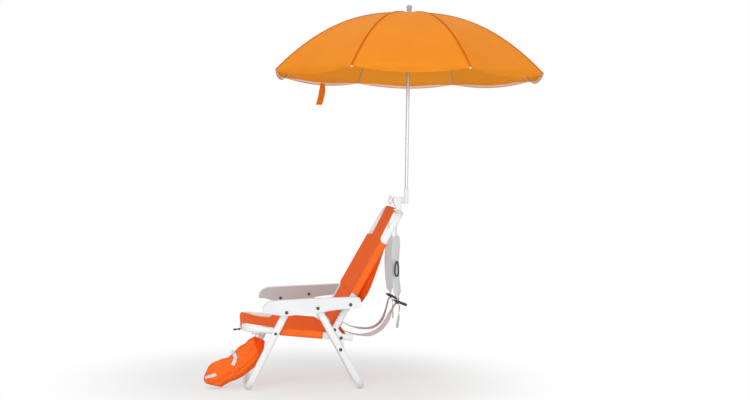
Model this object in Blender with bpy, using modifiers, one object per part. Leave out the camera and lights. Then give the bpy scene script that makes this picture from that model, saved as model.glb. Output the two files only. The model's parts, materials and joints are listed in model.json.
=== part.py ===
"""Kids folding canopy chair with a clamp-on umbrella, in metres.

The origin lies on the floor under the middle of the front floor bar, +X runs to the
back of the chair, +Y to the right hand of the child who sits in it, and +Z is up.
"""

from math import atan2, cos, hypot, pi, radians, sin, sqrt

import bmesh
import bpy
from mathutils import Matrix, Vector

COLLECTION = "kids_canopy_chair"

# Tubes and their lateral stack, from the inside out
TUBE_WIDE = 0.022
TUBE_THICK = 0.014
LEG_WIDE = 0.025
HALF_WIDTH = 0.181
PLATE_THICK = 0.0025
ARM_THICK = 0.012
LAYER_GAP = 0.0003
TUBE_SIDES = 16
SEAT_CORNER = 0.042
BACK_CORNER = 0.042
LEG_CORNER = 0.036
CORNER_STEPS = 7

# Pivots in the side view, as X and Z on each side of the chair
PIVOT_A = (0.0880, 0.1980)
PIVOT_B = (0.1240, 0.2720)
PIVOT_C = (0.3420, 0.2990)
PIVOT_D = (0.2905, 0.2085)
PIVOT_E = (0.3115, 0.1425)
PIVOT_F = (0.2300, 0.2870)
PIVOT_G = (0.3140, 0.1805)

# Seat rails, back tubes and leg ends
RAIL_FRONT = (-0.0190, 0.2140)
RAIL_REAR = (0.3556, 0.1800)
BACK_ANGLE = radians(61.0)
BACK_LENGTH = 0.464
BACK_TUBE_OVERHANG = 0.0065
LEG_OVERHANG = 0.0140
FLOOR_FLAT = 0.0010
CUT_OVERRUN = 0.0300
MERGE_DISTANCE = 0.00002

# Rivets
STUD_R = 0.0030
STUD_CLEARANCE = 0.0003
HEAD_R = 0.0060
HEAD_HEIGHT = 0.0022
HEAD_ROUND = 0.0008
SIDES_SMALL = 16
EDGE_ANGLE = radians(50)
SHARP_ANGLE = radians(35)

# Cross bars
SEAT_BAR_AT = (0.3330, 0.1765)
SEAT_BAR_R = 0.0060
BACK_BAR_R = 0.0080
BACK_BAR_ALONG = 0.0160
BACK_BAR_NORMAL = -0.0020

# Cloth slings
CLOTH = 0.0018
CLOTH_GAP = 0.0006
SEAT_SAG = 0.0200
BACK_SAG = 0.0110
SEAT_WRAP = (0.123, 0.270)
BACK_WRAP = (0.141, 0.342)
SEAT_FRONT_INSET = 0.049
SEAT_NOTCH_INSET = 0.069
SEAT_REAR_INSET = 0.021
NECK_INSET = 0.075
BACK_LOWER_INSET = 0.023
NOTCH_FLARE = 0.014
POUCH_INSET = 0.018
POUCH_ROUND = 0.0025

# Umbrella
POLE_R = 0.0060
POLE_WALL = 0.0010
RIM_RADIUS = 0.485
RIM_HEIGHT = 1.091
CANOPY_RISE = 0.217
DOME_POWER = 2.3
RIBS = 8
RIB_STEPS = 9
CANOPY_CLOTH = 0.0012
RIB_R = 0.0015
STRUT_R = 0.0013
CROWN_R = 0.0103
CROWN_HEIGHT = 0.0160
CROWN_STUD_R = 0.0045
CROWN_ROOF = 0.0030
RIB_HINGE_GAP = 0.0020
RIB_STUB = 0.0012
RIB_DEPTH = 0.0034
RIB_PAST_RIM = 0.0020
RUNNER_R = 0.0112
RUNNER_HEIGHT = 0.0340
RUNNER_BELOW_TOP = 0.1360
RUNNER_RING = 0.0080
RUNNER_SLEEVE_R = 0.0090
STRUT_END_GAP = 0.0018
STRUT_ON_RIB = 0.1700
STRUT_BELOW_RIB = 0.0029
FINIAL_R = 0.0100
FINIAL_HEIGHT = 0.0280
FINIAL_FLARE = 0.0060
FINIAL_TOP_SHARE = 0.55
FINIAL_SHOULDER_SHARE = 0.9
FINIAL_WAIST_SHARE = 0.8
CANOPY_HOLE_R = 0.0055
FLAP_DEPTH = 0.0180
FLAP_LEAST = 0.0020
CANOPY_TURN = radians(-8.0)
TIE_WIDE = 0.0190
TIE_LENGTH = 0.0800
TIE_OVERLAP = 0.0060
TIE_DRIFT = 0.0180

# Clamp that holds the umbrella on the top bar of the back, near its left corner
CLAMP_HALF = 0.0130
CLAMP_WALL = 0.0069
CLAMP_SLACK = 0.0005
CLAMP_DEPTH = 0.0200
CLAMP_FRONT_DEPTH = 0.0100
CLAMP_HEAD_FRONT = 0.00745
CLAMP_HEAD_BEHIND = 0.01855
CLAMP_HEAD_RISE = 0.0110
POLE_BEHIND_BAR = 0.02755
POLE_INSET = 0.0580
SWIVEL_ABOVE_BAR = 0.040675
SWIVEL_R = 0.0130
SWIVEL_THICK = 0.0030
SWIVEL_CONE_SHARE = 0.6
KNOB_R = 0.0165
KNOB_THICK = 0.0160
KNOB_WAIST = 0.0070
KNOB_RIM_SHARE = 0.12
SOCKET_R = 0.0088
SOCKET_ABOVE_SWIVEL = 0.0400
SOCKET_BELOW_SWIVEL = 0.0130
SOCKET_FLOOR = 0.0060
POLE_CLEARANCE = 0.0004

WHITE_PAINT = ("white_paint", (0.86, 0.87, 0.88), 0.35, 0.0)
WHITE_PLASTIC = ("white_plastic", (0.84, 0.85, 0.86), 0.45, 0.0)
DARK_STEEL = ("dark_steel", (0.09, 0.09, 0.10), 0.35, 0.9)
RED_ORANGE_CLOTH = ("red_orange_cloth", (0.86, 0.17, 0.035), 0.85, 0.0)
ORANGE_CLOTH = ("orange_cloth", (0.90, 0.27, 0.03), 0.80, 0.0)
GREY_WEBBING = ("grey_webbing", (0.66, 0.67, 0.69), 0.80, 0.0)
BLACK_PLASTIC = ("black_plastic", (0.012, 0.012, 0.013), 0.45, 0.0)
GREY_METAL = ("grey_metal", (0.42, 0.43, 0.44), 0.30, 1.0)

collection = None
cutters = None


def clear_scene():
    for item in list(bpy.data.objects):
        bpy.data.objects.remove(item, do_unlink=True)


def make_collections():
    global collection, cutters
    collection = bpy.data.collections.new(COLLECTION)
    cutters = bpy.data.collections.new("cutters")
    bpy.context.scene.collection.children.link(collection)
    bpy.context.scene.collection.children.link(cutters)


def material(spec):
    name, colour, roughness, metallic = spec
    found = bpy.data.materials.get(name)
    if found:
        return found
    made = bpy.data.materials.new(name)
    made.use_nodes = True
    shader = made.node_tree.nodes["Principled BSDF"]
    shader.inputs["Base Color"].default_value = (*colour, 1.0)
    shader.inputs["Roughness"].default_value = roughness
    shader.inputs["Metallic"].default_value = metallic
    made.diffuse_color = (*colour, 1.0)
    return made


def add_object(name, mesh, spec, matrix=None, smooth=True):
    mesh.materials.clear()
    mesh.materials.append(material(spec))
    obj = bpy.data.objects.new(name, mesh)
    collection.objects.link(obj)
    if matrix is not None:
        obj.matrix_world = matrix
    if smooth:
        mesh.shade_smooth()
        mesh.set_sharp_from_angle(angle=SHARP_ANGLE)
    return obj


def mesh_from(bm, name):
    bmesh.ops.recalc_face_normals(bm, faces=bm.faces)
    mesh = bpy.data.meshes.new(name)
    bm.to_mesh(mesh)
    bm.free()
    return mesh


def as_cutter(obj):
    """Moves an object to the cutters, which are left out of renders."""
    obj.hide_render = True
    obj.display_type = "WIRE"
    for home in list(obj.users_collection):
        home.objects.unlink(obj)
    cutters.objects.link(obj)
    return obj


def cutter_from(bm, name, matrix):
    obj = as_cutter(bpy.data.objects.new(name, mesh_from(bm, name)))
    obj.matrix_world = matrix
    return obj


def rod_mesh(radius, length):
    """Closed cylinder along local Z, centred on its middle."""
    bm = bmesh.new()
    bmesh.ops.create_cone(bm, cap_ends=True, segments=SIDES_SMALL, radius1=radius,
                          radius2=radius, depth=length)
    return bm


def block_mesh(size):
    bm = bmesh.new()
    bmesh.ops.create_cube(bm, size=1.0, matrix=Matrix.Diagonal((*size, 1)))
    return bm


def rounded_edges(obj, width, angle=None):
    """Rounds an object's edges, or only those sharper than an angle."""
    edge = obj.modifiers.new("edge", "BEVEL")
    edge.width = width
    edge.segments = 2
    if angle:
        edge.limit_method = "ANGLE"
        edge.angle_limit = angle


def boolean(obj, other, operation):
    mod = obj.modifiers.new(operation.lower(), "BOOLEAN")
    mod.operation = operation
    mod.object = other
    mod.solver = "EXACT"
    return mod


def axes(origin, across, along, normal):
    """Matrix whose local X, Y and Z are the three given world directions."""
    columns = [Vector(across), Vector(along), Vector(normal)]
    turn = Matrix(columns).transposed().to_4x4()
    return Matrix.Translation(Vector(origin)) @ turn


def lathe_matrix(point, direction):
    """Matrix that puts local +Z along a world direction at a point."""
    turn = Vector((0, 0, 1)).rotation_difference(Vector(direction)).to_matrix().to_4x4()
    return Matrix.Translation(Vector(point)) @ turn


def turned(name, profile, spec, matrix, steps=SIDES_SMALL):
    """Turned solid from radius and height pairs that run down its outer side."""
    bm = bmesh.new()
    points = [bm.verts.new((radius, 0, height)) for radius, height in profile]
    for first, second in zip(points, points[1:]):
        bm.edges.new((first, second))
    mesh = bpy.data.meshes.new(name)
    bm.to_mesh(mesh)
    bm.free()
    obj = add_object(name, mesh, spec, matrix, smooth=False)
    screw = obj.modifiers.new("turn", "SCREW")
    screw.steps = steps
    screw.render_steps = steps
    screw.use_merge_vertices = True
    screw.merge_threshold = MERGE_DISTANCE
    screw.use_normal_calculate = False
    screw.use_smooth_shade = True
    return obj


def evaluated_copy(obj, name):
    """Plain mesh object with the curve or modifiers applied, replacing the old one."""
    depsgraph = bpy.context.evaluated_depsgraph_get()
    depsgraph.update()
    mesh = bpy.data.meshes.new_from_object(obj.evaluated_get(depsgraph))
    matrix = obj.matrix_world.copy()
    slots = [m for m in mesh.materials if m]
    bm = bmesh.new()
    bm.from_mesh(mesh)
    bmesh.ops.remove_doubles(bm, verts=bm.verts, dist=MERGE_DISTANCE)
    bmesh.ops.recalc_face_normals(bm, faces=bm.faces)
    bm.to_mesh(mesh)
    bm.free()
    homes = list(obj.users_collection)
    bpy.data.objects.remove(obj, do_unlink=True)
    made = bpy.data.objects.new(name, mesh)
    for slot in slots:
        if slot.name not in mesh.materials:
            mesh.materials.append(slot)
    for home in homes:
        home.objects.link(made)
    made.matrix_world = matrix
    return made


def flat_oval(wide, thick):
    """Closed profile curve of a flat-oval tube, wide along its local Y."""
    reach = wide / 2 - thick / 2
    half = TUBE_SIDES // 2
    points = []
    for index in range(half + 1):
        angle = pi * index / half
        points.append((thick / 2 * cos(angle), reach + thick / 2 * sin(angle)))
    for index in range(half + 1):
        angle = pi + pi * index / half
        points.append((thick / 2 * cos(angle), -reach + thick / 2 * sin(angle)))
    curve = bpy.data.curves.new("flat_oval", "CURVE")
    curve.dimensions = "2D"
    spline = curve.splines.new("POLY")
    spline.points.add(len(points) - 1)
    for target, (x, y) in zip(spline.points, points):
        target.co = (x, y, 0, 1)
    spline.use_cyclic_u = True
    return as_cutter(bpy.data.objects.new("flat_oval", curve))


def bent_tube(name, path, wide, thick, spec, matrix):
    """Flat-oval tube along a path in its local XY plane, as one closed mesh."""
    curve = bpy.data.curves.new(name, "CURVE")
    curve.dimensions = "3D"
    curve.twist_mode = "Z_UP"
    spline = curve.splines.new("POLY")
    spline.points.add(len(path) - 1)
    for target, (x, y) in zip(spline.points, path):
        target.co = (x, y, 0, 1)
    profile = flat_oval(wide, thick)
    curve.bevel_mode = "OBJECT"
    curve.bevel_object = profile
    curve.use_fill_caps = True
    curve.materials.append(material(spec))
    obj = bpy.data.objects.new(name, curve)
    collection.objects.link(obj)
    obj.matrix_world = matrix
    made = evaluated_copy(obj, name)
    bpy.data.objects.remove(profile, do_unlink=True)
    made.data.shade_smooth()
    made.data.set_sharp_from_angle(angle=SHARP_ANGLE)
    return made


def arc(centre, radius, start, end, steps):
    return [
        (centre[0] + radius * cos(start + (end - start) * i / steps),
         centre[1] + radius * sin(start + (end - start) * i / steps))
        for i in range(steps + 1)
    ]


def u_path(half, open_end, closed_end, corner):
    """Path of a U: up one side, round two corners along the closed end, and back."""
    side = 1 if closed_end > open_end else -1
    turn = closed_end - side * corner
    left = arc((-half + corner, turn), corner, pi, pi - side * pi / 2, CORNER_STEPS)
    right = arc((half - corner, turn), corner, side * pi / 2, 0, CORNER_STEPS)
    return [(-half, open_end)] + left + right + [(half, open_end)]


def side_axes(point, angle):
    """Frame of a tube in the side view: across is +Y, along is at an angle, normal is up."""
    along = (cos(angle), 0, sin(angle))
    across = (0, 1, 0)
    normal = Vector(across).cross(Vector(along))
    return axes((point[0], 0, point[1]), across, along, normal)


def hole(obj, pivot, low_y, high_y, radius):
    """Round hole along Y through one side of a frame."""
    middle = (low_y + high_y) / 2
    matrix = lathe_matrix((pivot[0], middle, pivot[1]), (0, 1, 0))
    boolean(obj, cutter_from(rod_mesh(radius, high_y - low_y), "hole", matrix), "DIFFERENCE")


def cut_floor_flat(obj, along_x):
    """Cuts the underside of a floor bar flat at floor level."""
    size = (TUBE_WIDE * 4, LEG_PLANE * 2 + CUT_OVERRUN * 2, CUT_OVERRUN)
    matrix = Matrix.Translation((along_x, 0, -CUT_OVERRUN / 2))
    boolean(obj, cutter_from(block_mesh(size), "floor_cut", matrix), "DIFFERENCE")


def both_sides():
    """The near side, which is the child's left, then the far side."""
    return (("left", -1), ("right", 1))


# Lateral planes worked out from the stack
TUBE_OUTER = HALF_WIDTH + TUBE_THICK / 2
TUBE_INNER = HALF_WIDTH - TUBE_THICK / 2
PLATE_INNER = TUBE_OUTER + LAYER_GAP
PLATE_OUTER = PLATE_INNER + PLATE_THICK
LEG_INNER = PLATE_OUTER + LAYER_GAP
LEG_OUTER = LEG_INNER + TUBE_THICK
LEG_PLANE = (LEG_INNER + LEG_OUTER) / 2
ARM_INNER = LEG_OUTER + LAYER_GAP
ARM_OUTER = ARM_INNER + ARM_THICK
RAIL_ANGLE = atan2(RAIL_REAR[1] - RAIL_FRONT[1], RAIL_REAR[0] - RAIL_FRONT[0])
RAIL_LENGTH = hypot(RAIL_REAR[0] - RAIL_FRONT[0], RAIL_REAR[1] - RAIL_FRONT[1])
CREST = TUBE_WIDE / 2 + CLOTH_GAP + CLOTH / 2
WRAP_R = TUBE_THICK / 2 + CLOTH_GAP + CLOTH / 2

# Places worked out from the chair's width, the back's top bar and the canopy's top
SEAT_FRONT_HALF = HALF_WIDTH - SEAT_FRONT_INSET
SEAT_NOTCH_HALF = HALF_WIDTH - SEAT_NOTCH_INSET
SEAT_REAR_HALF = HALF_WIDTH - SEAT_REAR_INSET
NECK_HALF = HALF_WIDTH - NECK_INSET
BACK_LOWER_HALF = HALF_WIDTH - BACK_LOWER_INSET
POUCH_HALF = HALF_WIDTH - POUCH_INSET
TOP_BAR = (PIVOT_D[0] + BACK_LENGTH * cos(BACK_ANGLE), PIVOT_D[1] + BACK_LENGTH * sin(BACK_ANGLE))
POLE_AT = (TOP_BAR[0] + POLE_BEHIND_BAR, POLE_INSET - HALF_WIDTH)
CLAMP_HEAD = (TOP_BAR[0] - CLAMP_HEAD_FRONT, TOP_BAR[0] + CLAMP_HEAD_BEHIND)
SWIVEL_HEIGHT = TOP_BAR[1] + SWIVEL_ABOVE_BAR
CLAMP_HEAD_TOP = SWIVEL_HEIGHT + CLAMP_HEAD_RISE
SOCKET_TOP = SWIVEL_HEIGHT + SOCKET_ABOVE_SWIVEL
SOCKET_BOTTOM = SWIVEL_HEIGHT - SOCKET_BELOW_SWIVEL
RUNNER_TOP = RIM_HEIGHT + CANOPY_RISE - RUNNER_BELOW_TOP


def rail_point(along, normal):
    """World X and Z of a place given along the seat rail and above its centre line."""
    x = RAIL_FRONT[0] + along * cos(RAIL_ANGLE) - normal * sin(RAIL_ANGLE)
    z = RAIL_FRONT[1] + along * sin(RAIL_ANGLE) + normal * cos(RAIL_ANGLE)
    return x, z


def back_point(along, normal):
    """World X and Z of a place given along the back tube and in front of its centre line."""
    x = PIVOT_D[0] + along * cos(BACK_ANGLE) - normal * sin(BACK_ANGLE)
    z = PIVOT_D[1] + along * sin(BACK_ANGLE) + normal * cos(BACK_ANGLE)
    return x, z


# Frames

def seat_frame():
    path = u_path(HALF_WIDTH, RAIL_LENGTH, 0, SEAT_CORNER)
    frame = bent_tube("seat_frame", path, TUBE_WIDE, TUBE_THICK, WHITE_PAINT,
                      side_axes(RAIL_FRONT, RAIL_ANGLE))
    for _, side in both_sides():
        low, high = sorted((side * (TUBE_INNER - CUT_OVERRUN), side * (TUBE_OUTER + CUT_OVERRUN)))
        for pivot in (PIVOT_A, PIVOT_G):
            hole(frame, pivot, low, high, STUD_R + STUD_CLEARANCE)
    return frame


def leg_frame(name, top, through):
    """U-shaped leg from its top pivot through its lower pivot to the floor bar."""
    angle = atan2(top[1] - through[1], top[0] - through[0])
    reach = LEG_WIDE / 2 - TUBE_THICK / 2
    bar_height = TUBE_THICK / 2 + reach * abs(cos(angle)) - FLOOR_FLAT
    down = (top[1] - bar_height) / sin(angle)
    foot = (top[0] - down * cos(angle), bar_height)
    path = u_path(LEG_PLANE, down + LEG_OVERHANG, 0, LEG_CORNER)
    frame = bent_tube(name, path, LEG_WIDE, TUBE_THICK, WHITE_PAINT, side_axes(foot, angle))
    cut_floor_flat(frame, foot[0])
    for _, side in both_sides():
        low, high = sorted((side * (LEG_INNER - CUT_OVERRUN / 2), side * (LEG_OUTER + CUT_OVERRUN)))
        hole(frame, through, low, high, STUD_R + STUD_CLEARANCE)
    return frame


def back_frame():
    path = u_path(HALF_WIDTH, -BACK_TUBE_OVERHANG, BACK_LENGTH, BACK_CORNER)
    frame = bent_tube("back_frame", path, TUBE_WIDE, TUBE_THICK, WHITE_PAINT,
                      side_axes(PIVOT_D, BACK_ANGLE))
    for _, side in both_sides():
        low, high = sorted((side * (TUBE_INNER - CUT_OVERRUN), side * (TUBE_OUTER + CUT_OVERRUN)))
        for pivot in (PIVOT_D, PIVOT_C):
            hole(frame, pivot, low, high, STUD_R + STUD_CLEARANCE)
    return frame


def cross_bar(name, at, radius):
    """Round bar between the two inner faces of a frame's tubes."""
    half = TUBE_INNER - LAYER_GAP
    return add_object(name, mesh_from(rod_mesh(radius, 2 * half), name), WHITE_PAINT,
                      lathe_matrix((at[0], 0, at[1]), (0, 1, 0)))


def rivet_profile(low, high, head_low, head_high):
    """Stud from low to high along its axis, with a rounded head past each end if asked."""
    top = [(0, high)]
    if head_high:
        top = [(0, high + HEAD_HEIGHT), (HEAD_R - HEAD_ROUND, high + HEAD_HEIGHT),
               (HEAD_R, high + HEAD_HEIGHT - HEAD_ROUND), (HEAD_R, high)]
    bottom = [(0, low)]
    if head_low:
        bottom = [(HEAD_R, low), (HEAD_R, low - HEAD_HEIGHT + HEAD_ROUND),
                  (HEAD_R - HEAD_ROUND, low - HEAD_HEIGHT), (0, low - HEAD_HEIGHT)]
    return top + [(STUD_R, high), (STUD_R, low)] + bottom


def side_matrix(pivot, side):
    """Frame at a pivot whose local +Z points outward on that side of the chair."""
    return lathe_matrix((pivot[0], 0, pivot[1]), (0, side, 0))


def front_rivets():
    """Rivet that carries each front leg on the seat rail, with its spacer washer."""
    for name, side in both_sides():
        low = TUBE_INNER - LAYER_GAP
        high = LEG_OUTER - HEAD_HEIGHT / 2
        washer_low = TUBE_OUTER + LAYER_GAP
        washer_high = LEG_INNER - LAYER_GAP
        profile = [(0, high), (STUD_R, high), (STUD_R, washer_high), (HEAD_R, washer_high),
                   (HEAD_R, washer_low), (STUD_R, washer_low), (STUD_R, low), (HEAD_R, low),
                   (HEAD_R, low - HEAD_HEIGHT), (0, low - HEAD_HEIGHT)]
        turned(f"front_rivet_{name}", profile, DARK_STEEL, side_matrix(PIVOT_A, side))


def arm_rivets():
    """Rivets through each arm: blind ones over the two legs, a through one at the back tube."""
    for name, side in both_sides():
        for label, pivot in (("front", PIVOT_B), ("middle", PIVOT_F)):
            high = ARM_OUTER + LAYER_GAP
            low = ARM_INNER
            turned(f"arm_{label}_rivet_{name}", rivet_profile(low, high, False, True),
                   DARK_STEEL, side_matrix(pivot, side))
        low = TUBE_INNER - LAYER_GAP
        turned(f"arm_rear_rivet_{name}", rivet_profile(low, ARM_OUTER + LAYER_GAP, True, True),
               DARK_STEEL, side_matrix(PIVOT_C, side))


# Hinge plates between the back, the seat and the rear legs
PLATE_ROUND = 0.0120


def hull_outline(circles, steps=6):
    """Convex outline round equal circles, counter-clockwise, from their tangent points."""
    middle = Vector((sum(c[0] for c in circles), sum(c[1] for c in circles))) / len(circles)
    ordered = sorted(circles, key=lambda c: atan2(c[1] - middle.y, c[0] - middle.x))
    outline = []
    for index, centre in enumerate(ordered):
        before = Vector(centre) - Vector(ordered[index - 1])
        after = Vector(ordered[(index + 1) % len(ordered)]) - Vector(centre)
        start = atan2(before.y, before.x) - pi / 2
        end = atan2(after.y, after.x) - pi / 2
        while end < start:
            end += 2 * pi
        outline += arc(centre, PLATE_ROUND, start, end, steps)
    return outline


def extruded(name, outline, low_y, high_y, spec, matrix=None):
    """Flat outline in X and Z, extruded between two Y planes."""
    bm = bmesh.new()
    verts = [bm.verts.new((x, low_y, z)) for x, z in outline]
    face = bm.faces.new(verts)
    made = bmesh.ops.extrude_face_region(bm, geom=[face])
    moved = [item for item in made["geom"] if isinstance(item, bmesh.types.BMVert)]
    bmesh.ops.translate(bm, verts=moved, vec=(0, high_y - low_y, 0))
    return add_object(name, mesh_from(bm, name), spec, matrix)


def hinge_plates():
    for name, side in both_sides():
        low, high = sorted((side * PLATE_INNER, side * PLATE_OUTER))
        plate = extruded(f"hinge_plate_{name}", hull_outline([PIVOT_D, PIVOT_G, PIVOT_E]),
                         low, high, WHITE_PAINT)
        inward = rivet_profile(TUBE_INNER - LAYER_GAP, PLATE_OUTER - PLATE_THICK / 2, True, False)
        outward = rivet_profile(PLATE_INNER + PLATE_THICK / 2, LEG_OUTER + LAYER_GAP, False, True)
        for pivot, profile in ((PIVOT_D, inward), (PIVOT_G, inward), (PIVOT_E, outward)):
            stud = turned("stud", profile, DARK_STEEL, side_matrix(pivot, side))
            boolean(plate, as_cutter(stud), "UNION")


# Arms

ARM_NOSE = 0.0430
ARM_LOWEST = 0.2600
ARM_LENGTH = 0.3365
ARM_HEIGHT = 0.0650
ARM_TOP_SHARES = [(0.039, 0.662), (0.086, 0.785), (0.199, 0.831), (0.467, 0.900), (0.802, 0.977),
                  (0.960, 1.0)]
ARM_REAR_SHARES = [(0.984, 0.946), (0.997, 0.754), (1.0, 0.492), (0.984, 0.423)]
ARM_UNDER_SHARES = [(0.883, 0.400), (0.713, 0.308), (0.553, 0.169), (0.446, 0.123), (0.229, 0.0),
                    (0.125, 0.062), (0.062, 0.154)]
ARM_NOSE_SHARES = [(0.0, 0.169), (0.009, 0.485)]
ARM_LIP = 0.0050
LIP_SPAN = (0.062, 0.318)
LIP_STEPS = 8
ARM_BOSS_R = 0.0090
ARM_EDGE = 0.0018


def arm_points(shares):
    return [(ARM_NOSE + along * ARM_LENGTH, ARM_LOWEST + up * ARM_HEIGHT) for along, up in shares]


def arm_top(x):
    """Height of the arm's top edge at a place along it."""
    edge = arm_points(ARM_TOP_SHARES)
    for (x0, z0), (x1, z1) in zip(edge, edge[1:]):
        if x0 <= x <= x1:
            return z0 + (z1 - z0) * (x - x0) / (x1 - x0)
    return edge[-1][1]


def arms():
    """Moulded arms: an outer wall, a lip over the legs and a boss out to the back tube."""
    outline = arm_points(ARM_NOSE_SHARES + ARM_TOP_SHARES + ARM_REAR_SHARES + ARM_UNDER_SHARES)
    for name, side in both_sides():
        low, high = sorted((side * ARM_INNER, side * ARM_OUTER))
        arm = extruded(f"arm_{name}", outline, low, high, WHITE_PLASTIC)
        rounded_edges(arm, ARM_EDGE, EDGE_ANGLE)
        first, last = LIP_SPAN
        inset = ARM_EDGE + LAYER_GAP
        xs = [first + (last - first) * i / LIP_STEPS for i in range(LIP_STEPS + 1)]
        lip = [(x, arm_top(x) - inset) for x in xs]
        lip += [(x, arm_top(x) - inset - ARM_LIP) for x in reversed(xs)]
        low, high = sorted((side * LEG_INNER, side * (ARM_INNER + ARM_THICK / 2)))
        boolean(arm, as_cutter(extruded("lip", lip, low, high, WHITE_PLASTIC)), "UNION")
        boss = turned("boss", [(0, ARM_OUTER - ARM_THICK / 2), (ARM_BOSS_R, ARM_OUTER - ARM_THICK / 2),
                               (ARM_BOSS_R, TUBE_OUTER + LAYER_GAP), (0, TUBE_OUTER + LAYER_GAP)],
                      WHITE_PLASTIC, side_matrix(PIVOT_C, side))
        boolean(arm, as_cutter(boss), "UNION")
        for pivot in (PIVOT_B, PIVOT_F, PIVOT_C):
            low, high = sorted((side * (PLATE_INNER - CUT_OVERRUN / 4), side * (ARM_OUTER + CUT_OVERRUN)))
            hole(arm, pivot, low, high, STUD_R + STUD_CLEARANCE)


# Cloth slings

FLAT_SHARES = (-1.0, -0.9, -0.72, -0.45, -0.15, 0.15, 0.45, 0.72, 0.9, 1.0)
WRAP_ANGLES = (60, 30, 0, 0, -30, -60, -92)
WRAP_STEPS = len(WRAP_ANGLES)
WRAP_TURN = 3
TUBE_REACH = (TUBE_WIDE - TUBE_THICK) / 2
SEAT_FRONT_SHARES = (0.0, 0.130, 0.325, 0.553, 0.772, 0.878, 0.943)
SEAT_TAIL_SHARES = ((0.30, 0.32), (0.63, 0.05), (1.0, 0.0))
SEAT_TAIL_SLOPE = 0.30
SAG_POWER = 0.8
BACK_NECK_SHARES = (0.673, 0.337)
BACK_LOWER_SHARES = ((0.709, 0.68), (0.426, 0.624))
BACK_BEHIND_SHARES = ((0.355, -1.04), (0.638, -1.20))
BACK_SAG_START_SHARE = 0.426
BACK_LOWER_SLOPE = 0.20
BACK_STEPS = 5


def wrap_place(step):
    """Offset round a flat-oval tube, outward and up, from its crest to its far side."""
    angle = radians(WRAP_ANGLES[step])
    centre = TUBE_REACH if step < WRAP_TURN else -TUBE_REACH
    return WRAP_R * cos(angle), centre + WRAP_R * sin(angle)


def sling_row(bm, row, place):
    """Points of one row across a sling, and those that wrap down round each side tube."""
    along, normal, half, sag, wraps = row
    line = []
    for share in FLAT_SHARES:
        across = share * half
        drop = sag * (1 - (across / HALF_WIDTH) ** 2)
        x, z = place(along, normal - drop)
        line.append(bm.verts.new((x, across, z)))
    ends = [[], []]
    if wraps:
        for which, side in enumerate((-1, 1)):
            for step in range(WRAP_STEPS):
                out, up = wrap_place(step)
                x, z = place(along, normal - CREST + up)
                ends[which].append(bm.verts.new((x, side * (HALF_WIDTH + out), z)))
    return line, ends


def strip_faces(bm, one, two):
    for k in range(len(one) - 1):
        bm.faces.new((one[k], one[k + 1], two[k + 1], two[k]))


def sling(name, rows, place, spec):
    """Cloth over rows of (along, normal, half width, sag, wraps), given its thickness."""
    bm = bmesh.new()
    grid = [sling_row(bm, row, place) for row in rows]
    for (first, first_ends), (second, second_ends) in zip(grid, grid[1:]):
        strip_faces(bm, first, second)
        for which, corner in enumerate((0, -1)):
            if first_ends[which] and second_ends[which]:
                strip_faces(bm, [first[corner]] + first_ends[which],
                            [second[corner]] + second_ends[which])
    obj = add_object(name, mesh_from(bm, name), spec)
    thick = obj.modifiers.new("cloth", "SOLIDIFY")
    thick.thickness = CLOTH
    thick.offset = 0
    thick.use_even_offset = True
    return obj


def eased(value):
    value = max(0.0, min(1.0, value))
    return value * value * (3 - 2 * value)


def sag_along(position, start, end, sag):
    if position <= start or position >= end:
        return 0.0
    return sag * sin(pi * (position - start) / (end - start)) ** SAG_POWER


def seat_half(along):
    """Half width of the seat cloth along the rails."""
    start, end = SEAT_WRAP
    if start <= along <= end:
        return HALF_WIDTH
    if along < start:
        dip = sin(pi * max(0.0, min(1.0, along / start)))
        rise = eased((along - start + NOTCH_FLARE * 2) / (NOTCH_FLARE * 2))
        base = SEAT_FRONT_HALF - (SEAT_FRONT_HALF - SEAT_NOTCH_HALF) * dip
        return base + (HALF_WIDTH - base) * rise
    fall = eased((along - end) / NOTCH_FLARE)
    return HALF_WIDTH + (SEAT_REAR_HALF - HALF_WIDTH) * fall


def round_points(centre, radius, angles):
    """Places on a circle in the along and normal plane, at angles in degrees."""
    return [(centre[0] + radius * cos(radians(a)), centre[1] + radius * sin(radians(a)))
            for a in angles]


def seat_sling():
    """Seat cloth: hemmed round the front bar, round both rails and round the rear bar."""
    run = SEAT_BAR_AT[0] - RAIL_FRONT[0]
    rise = SEAT_BAR_AT[1] - RAIL_FRONT[1]
    bar = (run * cos(RAIL_ANGLE) + rise * sin(RAIL_ANGLE), rise * cos(RAIL_ANGLE) - run * sin(RAIL_ANGLE))
    bar_wrap = SEAT_BAR_R + CLOTH_GAP + CLOTH / 2
    start, end = SEAT_WRAP
    rows = []
    hem = round_points((0, -TUBE_REACH), WRAP_R, (265, 240, 210, 180))
    hem += round_points((0, TUBE_REACH), WRAP_R, (180, 150, 120))
    for along, normal in hem:
        rows.append((along, normal, SEAT_FRONT_HALF, 0.0, False))
    flats = [start * share for share in SEAT_FRONT_SHARES]
    flats += [start + (end - start) * quarter / 4 for quarter in range(5)]
    flats += [end + NOTCH_FLARE / 2, end + NOTCH_FLARE]
    for along in flats:
        sag = sag_along(along, 0.0, bar[0], SEAT_SAG)
        drop = max(0.0, along - end) * SEAT_TAIL_SLOPE
        rows.append((along, CREST - drop, seat_half(along), sag, start <= along <= end))
    rear_top = bar[1] + bar_wrap
    fall = CREST - NOTCH_FLARE * SEAT_TAIL_SLOPE - rear_top
    tail_start = end + NOTCH_FLARE
    for share, height_share in SEAT_TAIL_SHARES:
        along = tail_start + (bar[0] - tail_start) * share
        sag = sag_along(along, 0.0, bar[0], SEAT_SAG) / 2
        rows.append((along, rear_top + fall * height_share, SEAT_REAR_HALF, sag, False))
    for along, normal in round_points(bar, bar_wrap, (60, 30, 0, -30, -60, -90)):
        rows.append((along, normal, SEAT_REAR_HALF, 0.0, False))
    return sling("seat_sling", rows, rail_point, RED_ORANGE_CLOTH)


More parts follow.
